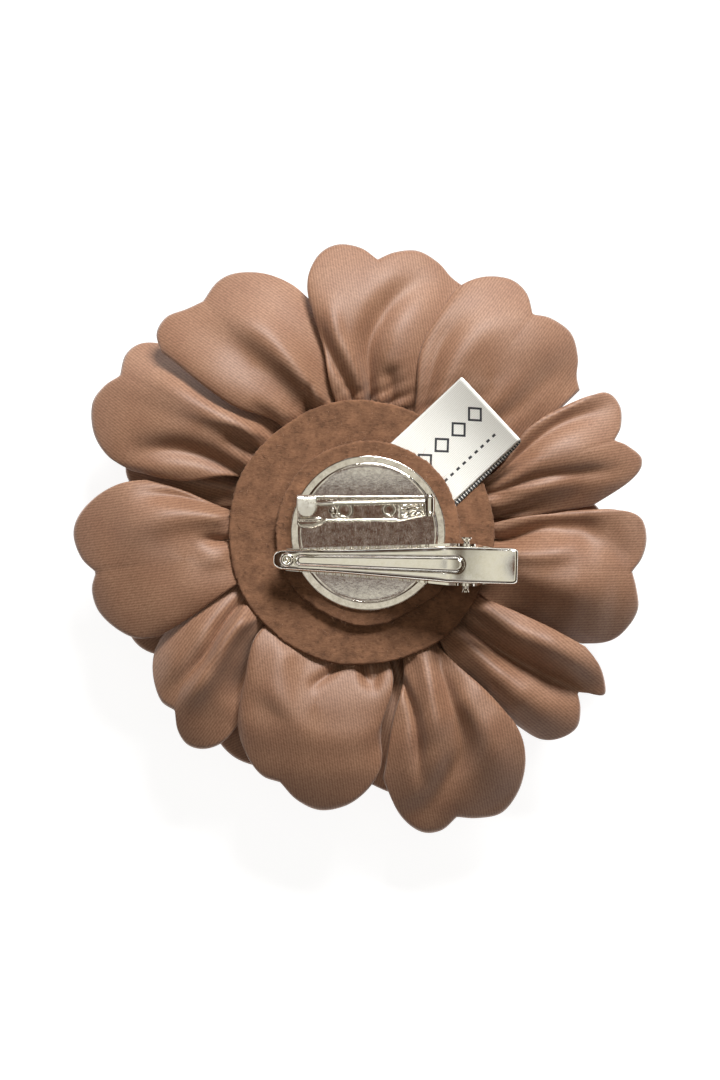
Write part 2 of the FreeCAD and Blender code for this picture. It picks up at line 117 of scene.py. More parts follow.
def add_mesh(name, points, faces, material, uv=None, smooth=True):
    """Object at the origin from an (n, 3) array in millimetres and quads as an (m, 4) array of indices.

    A quad whose last two indices are equal is a triangle. uv, if given, is an (n, 2) array in millimetres.
    """
    quads = [tuple(q) if q[2] != q[3] else tuple(q[:3]) for q in np.asarray(faces).tolist()]
    mesh = bpy.data.meshes.new(name)
    mesh.from_pydata((np.asarray(points) * MM).tolist(), [], quads)
    if uv is not None:
        layer = mesh.uv_layers.new(name="cloth")
        corner = np.empty(len(mesh.loops), dtype=np.int32)
        mesh.loops.foreach_get("vertex_index", corner)
        layer.data.foreach_set("uv", np.asarray(uv)[corner].ravel())
    mesh.polygons.foreach_set("use_smooth", [smooth] * len(mesh.polygons))
    mesh.materials.append(material)
    mesh.update()
    made = bpy.data.objects.new(name, mesh)
    bpy.context.scene.collection.objects.link(made)
    return made


def grid_faces(rows, columns, wrap=False, flip=False):
    """Quads of a rows by columns grid of points, optionally joined round the columns."""
    i, j = np.meshgrid(np.arange(rows - 1), np.arange(columns if wrap else columns - 1), indexing="ij")
    k = (j + 1) % columns
    quads = np.stack([i * columns + j, i * columns + k, (i + 1) * columns + k, (i + 1) * columns + j], -1)
    quads = quads.reshape(-1, 4)
    return quads[:, ::-1] if flip else quads


def surface_normals(surface):
    """Unit normals of a grid of points: the cross product of its two directions."""
    normal = np.cross(np.gradient(surface, axis=1), np.gradient(surface, axis=0))
    return -normal / np.maximum(np.linalg.norm(normal, axis=2, keepdims=True), 1e-9)


def closed_sheet(name, surface, thickness, material, uv):
    """Closed sheet round a middle surface.

    The two faces lie half the local thickness either side along the normal. The thickness is zero all round
    the border, where both faces share their points, so the edge is a soft closed fold.
    """
    rows, columns = thickness.shape
    normal = surface_normals(surface)
    half = (thickness / 2)[..., None] * normal
    index = np.arange(rows * columns).reshape(rows, columns)
    border = np.ones((rows, columns), dtype=bool)
    border[1:-1, 1:-1] = False
    below = np.where(border, index, index + rows * columns)
    top = grid_faces(rows, columns)
    under = below.ravel()[grid_faces(rows, columns, flip=True)]
    points = np.concatenate([(surface + half).reshape(-1, 3), (surface - half).reshape(-1, 3)])
    faces = np.concatenate([top, under])
    used, packed = np.unique(faces, return_inverse=True)
    flat_uv = np.concatenate([uv.reshape(-1, 2)] * 2)
    return add_mesh(name, points[used], packed.reshape(faces.shape), material, flat_uv[used])


def ringed_shell(name, rings, material, uv=None):
    """Closed shell from a rows by columns grid of rings, joined round, with one pole point at each end."""
    rows, columns = rings.shape[:2]
    first, last = rows * columns, rows * columns + 1
    poles = np.stack([rings[0].mean(0), rings[-1].mean(0)])
    j = np.arange(columns)
    k = (j + 1) % columns
    start = np.stack([k, j, np.full(columns, first), np.full(columns, first)], -1)
    end = np.stack([j, k, np.full(columns, last), np.full(columns, last)], -1)
    end[:, :2] += (rows - 1) * columns
    faces = np.concatenate([grid_faces(rows, columns, wrap=True), start, end])
    if uv is not None:
        uv = np.concatenate([uv.reshape(-1, 2), uv[0].mean(0)[None], uv[-1].mean(0)[None]])
    return add_mesh(name, np.concatenate([rings.reshape(-1, 3), poles]), faces, material, uv)


def turned(name, profile, material, columns, ripple):
    """Solid of revolution about Z: a (radius, height) profile, turned once round.

    ripple is a function of (profile point number, angle, radius) that gives what to add to radius and height.
    The profile runs from the axis at the bottom, out, and back to the axis at the top.
    """
    profile = np.asarray(profile, dtype=float)
    angle = np.linspace(0, 2 * math.pi, columns, endpoint=False)[None, :]
    radius, height = profile[:, :1] + 0 * angle, profile[:, 1:] + 0 * angle
    add_radius, add_height = ripple(np.arange(len(profile))[:, None], angle, radius)
    radius, height = radius + add_radius, height + add_height
    rings = np.stack([radius * np.cos(angle), radius * np.sin(angle), height], -1)
    return ringed_shell(name, rings, material, rings[..., :2])


def tube_rings(path, radius, sides):
    """Rings of points round a path: at each point, a circle in the plane square to the path's direction."""
    path = np.asarray(path, dtype=float)
    along = np.gradient(path, axis=0)
    along /= np.linalg.norm(along, axis=1, keepdims=True)
    guide = np.array([0.0, 0.0, 1.0]) if abs(along[0, 2]) < 0.8 else np.array([0.0, 1.0, 0.0])
    side = np.cross(along, guide)
    side /= np.linalg.norm(side, axis=1, keepdims=True)
    up = np.cross(side, along)
    turn = np.linspace(0, 2 * math.pi, sides, endpoint=False)[None, :, None]
    ring = side[:, None] * np.cos(turn) + up[:, None] * np.sin(turn)
    return path[:, None] + ring * np.broadcast_to(radius, len(path))[:, None, None]


def resampled(line, count):
    """The same line with its points at equal steps along its length."""
    length = np.concatenate([[0], np.cumsum(np.linalg.norm(np.diff(line, axis=0), axis=1))])
    at = np.linspace(0, length[-1], count)
    return np.stack([np.interp(at, length, line[:, k]) for k in range(line.shape[1])], -1)


def curve_through(points, count):
    """Smooth curve through points: Catmull-Rom cubic spans, resampled to equal steps along its length."""
    p = np.asarray(points, dtype=float)
    p = np.vstack([2 * p[0] - p[1], p, 2 * p[-1] - p[-2]])
    t = np.linspace(0, 1, 24, endpoint=False)[:, None]
    spans = []
    for a, b, c, d in zip(p, p[1:], p[2:], p[3:]):
        spans.append(0.5 * (2 * b + (c - a) * t + (2 * a - 5 * b + 4 * c - d) * t ** 2
                            + (3 * b - a - 3 * c + d) * t ** 3))
    return resampled(np.vstack(spans + [p[-2][None]]), count)


def joined_curve(points, corner, count):
    """Two smooth curves that meet in a sharp corner at the point with that index, resampled as one."""
    first, second = curve_through(points[:corner + 1], 80), curve_through(points[corner:], 80)
    return resampled(np.vstack([first, second[1:]]), count)


def polar_points(pairs):
    """(degrees, radius) pairs to plan points."""
    pairs = np.asarray(pairs, dtype=float)
    a = np.radians(pairs[:, 0])
    return np.stack([pairs[:, 1] * np.cos(a), pairs[:, 1] * np.sin(a)], -1)


# ---------------------------------------------------------------- materials

# Spacing of a wave texture's bands at scale 1: bands square to an axis, and diagonal bands in a plane
BAND_PITCH = math.pi / 10
DIAGONAL_PITCH = math.pi / 5 / math.sqrt(2)


def satin_weave():
    """Polyester charmeuse satin, woven, then cut hot: long floats give a soft directional gloss.

    The floats lie in a fine twill. Its lines are 0.15 mm apart in the real cloth and drawn at 0.47 mm so that
    they show. UV is in millimetres along the warp and weft of each cut piece.
    """
    made, tree, shader = new_material("polyester_satin_woven", Roughness=0.62, IOR=1.5, Sheen_Weight=0.22,
                                      Sheen_Roughness=0.5, Sheen_Tint=linear("#f2ddd0"),
                                      Specular_IOR_Level=0.78, Anisotropic=0.3)
    twill_mm = 0.4746
    uv = node(tree, "ShaderNodeUVMap", {"uv_map": "cloth"}).outputs[0]
    twill = node(tree, "ShaderNodeTexWave",
                 {"Scale": DIAGONAL_PITCH / twill_mm, "Distortion": 1.6, "Detail": 2.0, "Detail Scale": 3.0,
                  "bands_direction": "DIAGONAL"}, {"Vector": uv})
    thread_of = node(tree, "ShaderNodeMapping", {"Scale": (1.6, 3.4, 1.0)}, {"Vector": uv})
    slub = node(tree, "ShaderNodeTexNoise", {"Scale": 1.0, "Detail": 4.0, "Roughness": 0.7},
                {"Vector": thread_of.outputs[0]})
    mottle = node(tree, "ShaderNodeTexNoise", {"Scale": 0.16, "Detail": 2.0, "Roughness": 0.5},
                  {"Vector": uv})
    grain = node(tree, "ShaderNodeMix", {"data_type": "FLOAT", "Factor": 0.8},
                 {"A": twill.outputs["Fac"], "B": slub.outputs["Fac"]})
    shade = node(tree, "ShaderNodeValToRGB", links={"Fac": grain.outputs[0]},
                 stops=[(0.28, SATIN_DARK), (0.72, SATIN_LIGHT)])
    worn = node(tree, "ShaderNodeValToRGB", links={"Fac": mottle.outputs["Fac"]},
                stops=[(0.3, "#efe8e4"), (0.7, "#ffffff")])
    tone = node(tree, "ShaderNodeMix", {"data_type": "RGBA", "blend_type": "MULTIPLY", "Factor": 1.0},
                {6: shade.outputs[0], 7: worn.outputs[0]})
    finish_surface(tree, shader, tone.outputs[2], grain.outputs[0], 0.16, 0.00005)
    return made


def pressed_felt(name, light, dark):
    """Wool-mix felt, carded and pressed: a matt mat of crossing fibres, with painted shade in the pits
    between them.

    Fibres are 0.03 mm thick in the real felt; here their clumps are drawn from 0.3 mm up.
    """
    made, tree, shader = new_material(name, Roughness=0.95, IOR=1.4, Sheen_Weight=0.25, Sheen_Roughness=0.6,
                                      Sheen_Tint=linear("#c8a78c"))
    place = node(tree, "ShaderNodeTexCoord").outputs["Object"]
    stretched = node(tree, "ShaderNodeMapping",
                     {"Rotation": (0.0, 0.0, 0.7), "Scale": (900.0, 2400.0, 1500.0)}, {"Vector": place})
    fibres = node(tree, "ShaderNodeTexNoise",
                  {"Scale": 1.0, "Detail": 5.0, "Roughness": 0.7, "Distortion": 1.2},
                  {"Vector": stretched.outputs[0]})
    clumps = node(tree, "ShaderNodeTexNoise", {"Scale": 420.0, "Detail": 4.0, "Roughness": 0.65},
                  {"Vector": place})
    pits = node(tree, "ShaderNodeTexVoronoi", {"Scale": 900.0}, {"Vector": place})
    mat_of = node(tree, "ShaderNodeMix", {"data_type": "FLOAT", "Factor": 0.5},
                  {"A": fibres.outputs["Fac"], "B": clumps.outputs["Fac"]})
    shade = node(tree, "ShaderNodeValToRGB", links={"Fac": mat_of.outputs[0]},
                 stops=[(0.36, dark), (0.62, light)])
    # Painted shade: small dark spots at random points stand for the shade in the pits between fibres, which
    # the relief doesn't have.
    pit_shade = node(tree, "ShaderNodeValToRGB", links={"Fac": pits.outputs["Distance"]},
                 stops=[(0.05, "#4d3a2c"), (0.3, "#ffffff")])
    tone = node(tree, "ShaderNodeMix", {"data_type": "RGBA", "blend_type": "MULTIPLY", "Factor": 0.35},
                {6: shade.outputs[0], 7: pit_shade.outputs[0]})
    finish_surface(tree, shader, tone.outputs[2], mat_of.outputs[0], 0.7, 0.0003)
    return made


def bright_nickel(name, colours, roughness, stretch, dent):
    """Bright nickel plate on pressed steel: near mirror, with rolling lines, orange peel and handling haze.

    stretch gives the rolling lines' scale along X, Y and Z, and dent the depth of the orange peel in metres.
    """
    made, tree, shader = new_material(name, Metallic=1.0)
    place = node(tree, "ShaderNodeTexCoord").outputs["Object"]
    lines = node(tree, "ShaderNodeMapping", {"Scale": stretch}, {"Vector": place})
    rolling = node(tree, "ShaderNodeTexNoise", {"Scale": 1.0, "Detail": 4.0, "Roughness": 0.6},
                   {"Vector": lines.outputs[0]})
    peel = node(tree, "ShaderNodeTexNoise", {"Scale": 2600.0, "Detail": 3.0, "Roughness": 0.65},
                {"Vector": place})
    haze = node(tree, "ShaderNodeTexNoise", {"Scale": 800.0, "Detail": 4.0, "Roughness": 0.7},
                {"Vector": place})
    tarnish = node(tree, "ShaderNodeValToRGB", links={"Fac": haze.outputs["Fac"]},
                   stops=[(0.35, colours[0]), (0.6, colours[1])])
    rough = node(tree, "ShaderNodeMapRange", {"From Min": 0.3, "From Max": 0.7, "To Min": roughness * 0.5,
                                              "To Max": roughness * 1.5}, {"Value": haze.outputs["Fac"]})
    tree.links.new(rough.outputs[0], shader.inputs["Roughness"])
    bumps = node(tree, "ShaderNodeMix", {"data_type": "FLOAT", "Factor": 0.5},
                 {"A": peel.outputs["Fac"], "B": rolling.outputs["Fac"]})
    finish_surface(tree, shader, tarnish.outputs[0], bumps.outputs[0], 1.0, dent)
    return made


def spun_yarn(name, colours):
    """Spun yarn: two plies twisted round each other, seen as fine slanting bands."""
    made, tree, shader = new_material(name, Roughness=0.7, Sheen_Weight=0.4, Sheen_Roughness=0.5,
                                      Sheen_Tint=linear("#c9a890"))
    place = node(tree, "ShaderNodeTexCoord").outputs["Object"]
    plies = node(tree, "ShaderNodeTexWave",
                 {"Scale": 500.0, "Distortion": 0.4, "bands_direction": "DIAGONAL"}, {"Vector": place})
    shade = node(tree, "ShaderNodeValToRGB", links={"Fac": plies.outputs["Fac"]},
                 stops=[(0.2, colours[0]), (0.8, colours[1])])
    finish_surface(tree, shader, shade.outputs[0], plies.outputs["Fac"], 0.6, 0.0001)
    return made


# The label's motifs as steps of arithmetic on U and V in millimetres: result, operation, inputs. A triangle
# wave repeats the diamonds every 4.2 mm, the dots every 1.5 mm and the back's ticks every 0.6 mm.
LABEL_BACK = 100.0
LABEL_MOTIFS = [
    ("along_share", "DIVIDE", "u", 4.2),
    ("along_turn", "FRACT", "along_share"),
    ("along_middle", "SUBTRACT", "along_turn", 0.5),
    ("along_half", "ABSOLUTE", "along_middle"),
    ("along", "MULTIPLY", "along_half", 4.2),
    ("across_middle", "SUBTRACT", "v", 1.2),
    ("across", "ABSOLUTE", "across_middle"),
    ("diamond", "ADD", "along", "across"),
    ("from_line", "SUBTRACT", "diamond", 1.55),
    ("from_line_size", "ABSOLUTE", "from_line"),
    ("on_line", "LESS_THAN", "from_line_size", 0.28),
    ("before_fold", "LESS_THAN", "u", 20.8),
    ("chain", "MULTIPLY", "on_line", "before_fold"),
    ("dot_share", "DIVIDE", "u", 1.5),
    ("dot_turn", "FRACT", "dot_share"),
    ("dot_middle", "SUBTRACT", "dot_turn", 0.5),
    ("dot_half", "ABSOLUTE", "dot_middle"),
    ("dot_long", "LESS_THAN", "dot_half", 0.24),
    ("row_middle", "SUBTRACT", "v", -3.9),
    ("row_distance", "ABSOLUTE", "row_middle"),
    ("on_row", "LESS_THAN", "row_distance", 0.22),
    ("dots", "MULTIPLY", "dot_long", "on_row"),
    ("dots_before_fold", "LESS_THAN", "u", 19.6),
    ("dotted_line", "MULTIPLY", "dots", "dots_before_fold"),
    ("tick_share", "DIVIDE", "u", 0.6),
    ("tick_turn", "FRACT", "tick_share"),
    ("tick_middle", "SUBTRACT", "tick_turn", 0.5),
    ("tick_half", "ABSOLUTE", "tick_middle"),
    ("tick_long", "LESS_THAN", "tick_half", 0.36),
    ("on_back", "GREATER_THAN", "v", LABEL_BACK / 2),
    ("ticks", "MULTIPLY", "on_back", "tick_long"),
    ("front_marks", "MAXIMUM", "chain", "dotted_line"),
    ("marks", "MAXIMUM", "front_marks", "ticks"),
]


def woven_label():
    """Damask label ribbon, woven in white with a dark weft that shows in the motifs and on the back.

    UV is in millimetres, U along the ribbon and V across it. A chain of small diamonds and a dotted line run
    along it; V from half of LABEL_BACK up marks the back, where the dark weft floats in ticks. The ribs are
    0.12 mm apart in the real ribbon and drawn at 0.3 mm.
    """
    made, tree, shader = new_material("label_damask_woven", Roughness=0.6, Sheen_Weight=0.2,
                                      Sheen_Roughness=0.4, Sheen_Tint=linear("#ffffff"))
    rib_mm = 0.2961
    uv = node(tree, "ShaderNodeUVMap", {"uv_map": "cloth"}).outputs[0]
    parts = node(tree, "ShaderNodeSeparateXYZ", links={"Vector": uv})
    results = {"u": parts.outputs["X"], "v": parts.outputs["Y"]}
    for result, operation, *inputs in LABEL_MOTIFS:
        values = {i: x for i, x in enumerate(inputs) if not isinstance(x, str)}
        links = {i: results[x] for i, x in enumerate(inputs) if isinstance(x, str)}
        results[result] = node(tree, "ShaderNodeMath", {"operation": operation, **values}, links).outputs[0]
    ribs = node(tree, "ShaderNodeTexWave", {"Scale": BAND_PITCH / rib_mm, "bands_direction": "Y",
                                            "Distortion": 0.4}, {"Vector": uv})
    yarn = node(tree, "ShaderNodeTexNoise", {"Scale": 2.6, "Detail": 3.0}, {"Vector": uv})
    weave = node(tree, "ShaderNodeMix", {"data_type": "FLOAT", "Factor": 0.4},
                 {"A": ribs.outputs["Fac"], "B": yarn.outputs["Fac"]})
    white = node(tree, "ShaderNodeValToRGB", links={"Fac": weave.outputs[0]},
                 stops=[(0.2, "#dcdcd4"), (0.8, "#f2f2ee")])
    dark = node(tree, "ShaderNodeValToRGB", links={"Fac": weave.outputs[0]},
                stops=[(0.2, "#1e1f24"), (0.8, "#3c3d42")])
    tone = node(tree, "ShaderNodeMix", {"data_type": "RGBA"},
                {"Factor": results["marks"], 6: white.outputs[0], 7: dark.outputs[0]})
    finish_surface(tree, shader, tone.outputs[2], weave.outputs[0], 0.3, 0.00008)
    return made


SATIN_LIGHT = "#a57d62"
SATIN_DARK = "#734e35"
satin = satin_weave()
felt_cloth = pressed_felt("wool_felt_pressed", "#896248", "#593c2a")
core_cloth = pressed_felt("stiff_core_felt", "#7a5c48", "#5a4334")
nickel = bright_nickel("bright_nickel_on_jaws", ("#f2eee2", "#fbf8f0"), 0.13, (80.0, 900.0, 900.0), 0.00001)
disc_nickel = bright_nickel("bright_nickel_on_pressed_disc", ("#d3ccc4", "#efeae2"), 0.1,
                            (5000.0, 600.0, 900.0), 0.00003)
bar_nickel = bright_nickel("bright_nickel_on_pin_bar", ("#d6cfc5", "#f6f2e9"), 0.1,
                           (5000.0, 500.0, 400.0), 0.000025)
wire_nickel = bright_nickel("bright_nickel_on_drawn_wire", ("#ece8dc", "#fbf8f0"), 0.12,
                            (80.0, 900.0, 900.0), 0.000003)
catch_nickel = bright_nickel("bright_nickel_on_catch", ("#f2efe6", "#fbf9f2"), 0.35,
                             (300.0, 300.0, 300.0), 0.00001)
button_tin = bright_nickel("tinned_button_shell", ("#b4b2ae", "#c9c7c2"), 0.3, (300.0, 300.0, 300.0), 0.00001)
spring_wire = bright_nickel("drawn_spring_wire", ("#b8b5ae", "#d6d3cb"), 0.2, (600.0, 600.0, 600.0), 0.00001)
thread = spun_yarn("spun_polyester_thread", ("#4a3426", "#7a5a45"))
wool_fibre = spun_yarn("loose_wool_fibre", ("#5e4231", "#a07a60"))
label_cloth = woven_label()


# ---------------------------------------------------------------- petals

# Depth line of the outer ring: (radius, height) along the middle of a petal
BACK_DEPTH = [(13, 16.9), (20, 17.0), (24, 17.9), (29, 19.8), (35, 20.6), (41, 19.7), (47, 17.0), (52, 13.6),
              (57, 9.8)]

# One entry for each petal of the outer ring, counter-clockwise. near and far are its two sides, clockwise and
# counter-clockwise, as the angle at radius 25 and at radius 34; outline runs from side to side over the tip
# as (degrees, radius), and notch is the number of its sharp point, from 0; lift raises the near and far side;
# cup is how far both sides turn down; folds are (line as (degrees, radius) points, height, width at its root,
# width at its end); a valley has minus height.
BACK_PETALS = [
    dict(near=(6, 6.5), far=(25.5, 33), notch=4,
         outline=[(6.9, 40.8), (11.6, 49), (15, 51.5), (18.6, 49.6), (20.6, 47.6), (23, 49.8), (27, 51.2),
                  (30.8, 49.8), (32.4, 43.5)],
         lift=(-2.2, 1.4), cup=2.6,
         folds=[([(22, 23), (27.5, 32), (29.5, 39), (28, 48)], -2.0, 1.3, 2.2),
                ([(18.1, 23), (18.2, 31), (16.2, 39), (14.6, 45)], -1.0, 0.7, 1.4),
                ([(20.0, 24), (22.9, 36), (20.0, 46)], 0.7, 1.6, 3.0),
                ([(7.5, 24), (11.2, 34), (13, 42)], -1.0, 1.0, 2.6)]),
    dict(near=(28, 31), far=(70, 74), notch=5,
         outline=[(34, 46.5), (37, 47.6), (40, 49.9), (44.5, 51.8), (49.5, 51.2), (53, 49.6), (56.5, 52.2),
                  (60.5, 52.9), (65, 51.4), (68.5, 48.9), (70.6, 46)],
         lift=(-3.2, 1.2), cup=3.0,
         folds=[([(62, 25), (62.8, 33), (60.5, 41), (56, 49)], 0.9, 1.6, 4.5),
                ([(66, 25), (68.5, 35), (67.5, 42)], -0.9, 0.9, 2.4),
                ([(50, 28), (49, 36), (46, 44)], -0.8, 1.8, 4.0),
                ([(41, 25), (41, 36), (40.5, 47)], -1.2, 1.6, 3.2)]),
    dict(near=(66, 66), far=(104, 103.6), notch=5,
         outline=[(69, 48.2), (72, 49), (75.5, 50.9), (80, 52.1), (84.5, 51.2), (88, 49.6), (91.5, 51.8),
                  (96, 52.7), (100, 51.3), (103.2, 47.6), (104, 43.5)],
         lift=(-2.6, 1.4), cup=2.6,
         folds=[([(89, 24), (89.8, 33), (86.4, 39), (79.5, 47)], -2.2, 1.1, 3.6),
                ([(92, 26), (96.4, 32), (99.2, 36), (99.6, 41)], 1.0, 0.9, 1.8),
                ([(96.5, 25), (101, 31), (102.4, 38)], -1.0, 0.7, 1.2),
                ([(80, 25), (82, 29.5)], -1.2, 1.2, 1.6)]),
    dict(near=(102, 101), far=(129, 137), notch=5,
         outline=[(104, 43.5), (107.5, 47.6), (112, 50.9), (117, 53), (121, 53.2), (125.4, 51.6), (129, 52.3),
                  (133, 53.6), (136.6, 52.7), (138.8, 49.8)],
         lift=(-2.4, 3.4), cup=2.3,
         folds=[([(108.9, 24), (112.4, 30), (115.3, 35), (119, 42), (122, 48)], 2.0, 1.1, 4.6),
                ([(116.5, 24), (112.8, 28)], -1.3, 1.0, 1.0),
                ([(128, 24), (132, 30)], -1.0, 1.0, 1.6)]),
    dict(near=(128, 133), far=(156.4, 164), notch=3,
         outline=[(137, 50.6), (140, 54), (143.6, 54.9), (147.6, 53.4), (151, 55), (155, 55.4), (160, 53),
                  (163.6, 49), (165.2, 44)],
         lift=(-3.6, 0.4), cup=2.8,
         folds=[([(138.6, 24), (139.7, 29), (142, 36), (143, 44), (144.2, 51)], 1.9, 1.0, 3.6),
                ([(155, 24), (154.5, 31), (156, 37), (160, 44)], -1.9, 1.2, 2.6),
                ([(143.8, 25), (144.6, 30)], -1.3, 1.2, 1.6)]),
    dict(near=(170.7, 167), far=(201.3, 205), notch=6,
         outline=[(166.5, 41), (168.6, 45.6), (172.2, 49.6), (176.5, 52.6), (180.5, 53.5), (185, 52.2),
                  (188.2, 49.8), (191.6, 51.1), (196, 50.9), (200.5, 48.9), (204.4, 46), (206.4, 42)],
         lift=(0.8, 1.6), cup=3.8,
         folds=[([(171, 24), (169.6, 32), (170, 40)], -1.6, 1.0, 1.6),
                ([(173, 24), (174.5, 34), (178, 42)], 1.2, 1.3, 4.0),
                ([(183.2, 24), (182.4, 29)], -1.4, 0.8, 1.0),
                ([(190, 24), (189, 30)], 0.7, 1.2, 2.0)]),
    dict(near=(199, 202), far=(224, 230), notch=4,
         outline=[(207, 42), (210, 44.8), (214, 46.9), (219, 48.2), (222.6, 47.4), (226, 49.6), (229.6, 50.4),
                  (233, 49), (235.4, 45.8), (236, 41)],
         lift=(-3.2, -3.0), cup=1.8,
         folds=[([(213.7, 24), (216.7, 31), (220.5, 37), (222, 44)], 1.9, 1.1, 2.6),
                ([(208.6, 26), (213.4, 32), (217.6, 37), (219.4, 45)], -1.8, 1.0, 2.0),
                ([(224, 28), (228, 33), (231, 38)], -1.4, 1.0, 2.2)]),
    dict(near=(222, 229.5), far=(280, 274), notch=4,
         outline=[(235.8, 41.6), (239, 44.2), (242.6, 46.4), (246.6, 47.9), (250.6, 47.8), (255, 50),
                  (260, 51), (265, 49.7), (269, 47.2), (272.3, 43.8), (273.4, 40)],
         lift=(1.6, 0.4), cup=4.2,
         folds=[([(258.3, 24), (250.5, 29)], -1.6, 0.8, 0.9),
                ([(268.1, 24), (269.6, 27)], -1.5, 0.9, 0.9),
                ([(274.5, 24), (272, 28)], -1.0, 0.9, 1.0),
                ([(233, 24), (240, 32), (248, 37)], 1.0, 2.4, 4.0)]),
    dict(near=(285, 277.5), far=(302.4, 306.4), notch=4,
         outline=[(273.4, 44.5), (276.4, 51.4), (280, 55.2), (283.8, 55.8), (287.4, 54.1), (291, 55.6),
                  (295.5, 56.5), (300, 54.5), (304, 51), (306.8, 46.8), (307.6, 42.5)],
         lift=(-0.6, 1.6), cup=2.6,
         folds=[([(283.1, 26), (284.6, 33), (283.4, 39), (282, 44)], -1.5, 0.7, 1.2),
                ([(301.5, 24), (297, 34), (294, 42), (282.5, 51)], -2.2, 1.2, 4.2),
                ([(300.2, 27), (299, 34), (300, 42), (298.5, 51)], 1.2, 1.0, 4.0),
                ([(305, 27), (308.5, 32)], -1.5, 0.7, 0.8),
                ([(294.4, 24), (291.6, 31), (289.4, 38)], 1.0, 1.4, 2.6)]),
    dict(near=(303, 304), far=(331, 332.5), notch=5,
         outline=[(307.6, 42.6), (310, 48.6), (313, 51), (317, 51.8), (320.4, 50), (322.8, 47.7), (324, 49.4),
                  (325.5, 51.9), (327.6, 50.9), (330.4, 48), (332.4, 44)],
         lift=(-3.0, 1.8), cup=2.2,
         folds=[([(316.3, 25), (318.8, 34), (321.6, 42), (323.4, 48)], -3.4, 1.4, 3.2),
                ([(327, 24), (326.6, 31), (328.6, 39), (328, 48)], 1.4, 1.6, 2.6),
                ([(313.6, 25), (312.8, 35), (313.6, 46)], 1.0, 2.0, 3.0),
                ([(322.5, 25), (322.4, 29)], -1.0, 0.8, 1.0)]),
    dict(near=(330, 331), far=(365.5, 366), notch=5,
         outline=[(332.6, 43.6), (336, 48.2), (340, 50.2), (344.4, 50.9), (348.5, 49.6), (351.7, 48.3),
                  (355, 49.9), (359, 50.5), (363, 49.6), (365, 46.4), (365.5, 41)],
         lift=(-4.0, 2.0), cup=2.8,
         folds=[([(357, 24), (362, 33), (361, 43)], -2.0, 1.2, 3.0),
                ([(351.7, 25), (353, 32), (355.6, 37)], 1.2, 1.2, 2.2),
                ([(358.7, 34), (357.5, 41), (355, 47)], -0.8, 2.0, 3.0),
                ([(349, 25), (346, 35), (345, 43)], 1.1, 2.2, 6.0)]),
]


def petal_plan(spec, root_radius, rows, columns):
    """Plan points of a petal as a rows by columns grid.

    In angle and radius, the grid fills the patch between four border curves: the root arc, the two sides and
    the outline over the tip. A Coons patch adds the two straight blends between opposite borders and takes
    away the blend of the four corners. The root is 0.62 of the width that the side has at the felt.
    """
    outline = spec["outline"]
    size = spec.get("size", 1)
    middle = (outline[0][0] + outline[-1][0]) / 2
    sides = []
    for side, end in (("near", outline[0]), ("far", outline[-1])):
        at_felt, at_middle = spec[side]
        points = [(middle + (at_felt - middle) * 0.62, root_radius), (at_felt, 25.0 * size),
                  (at_middle, 34.0 * size), end]
        sides.append(curve_through(points, rows))
    near, far = sides
    tip = joined_curve(polar_points(outline), spec["notch"], columns)
    tip_angle = np.degrees(np.unwrap(np.arctan2(tip[:, 1], tip[:, 0])))
    tip = np.stack([tip_angle, np.hypot(tip[:, 0], tip[:, 1])], -1)
    tip[:, 0] += 360 * round((outline[0][0] - tip[0, 0]) / 360)
    u = np.linspace(0, 1, columns)[None, :, None]
    v = np.linspace(0, 1, rows)[:, None, None]
    root = near[0] + (far[0] - near[0]) * u[0]
    patch = ((1 - u) * near[:, None] + u * far[:, None] + (1 - v) * root[None] + v * tip[None]
             - (1 - u) * (1 - v) * near[0] - u * (1 - v) * far[0] - (1 - u) * v * tip[0] - u * v * tip[-1])
    return patch[..., 0], patch[..., 1]


def fold_height(angle, radius, folds):
    """Sum of soft ridges and valleys: a bell curve of the distance from each fold's line.

    The line's angle is a smooth function of the radius; the bell widens from its root to its end, and the
    fold fades out over its last third and, where it starts beyond the felt, fades in.
    """
    total = np.zeros_like(angle)
    for line, height, width0, width1 in folds:
        line = np.asarray(line, dtype=float)
        smooth_line = curve_through(line[:, ::-1], 40)
        centre = np.interp(radius, smooth_line[:, 0], smooth_line[:, 1])
        r0, r1 = line[0, 1], line[-1, 1]
        along = np.clip((radius - r0) / (r1 - r0), 0, 1.3)
        width = width0 + (width1 - width0) * along
        across = radius * np.sin(np.radians(angle - centre))
        fade_in = 1.0 if r0 < 26 else smoothstep((radius - r0 + 3) / 5)
        fade_out = 1 - smoothstep((radius - (r1 - 0.3 * (r1 - r0))) / (0.5 * (r1 - r0) + 1.0))
        total += height * np.exp(-(across / width) ** 2) * fade_in * fade_out
    return total


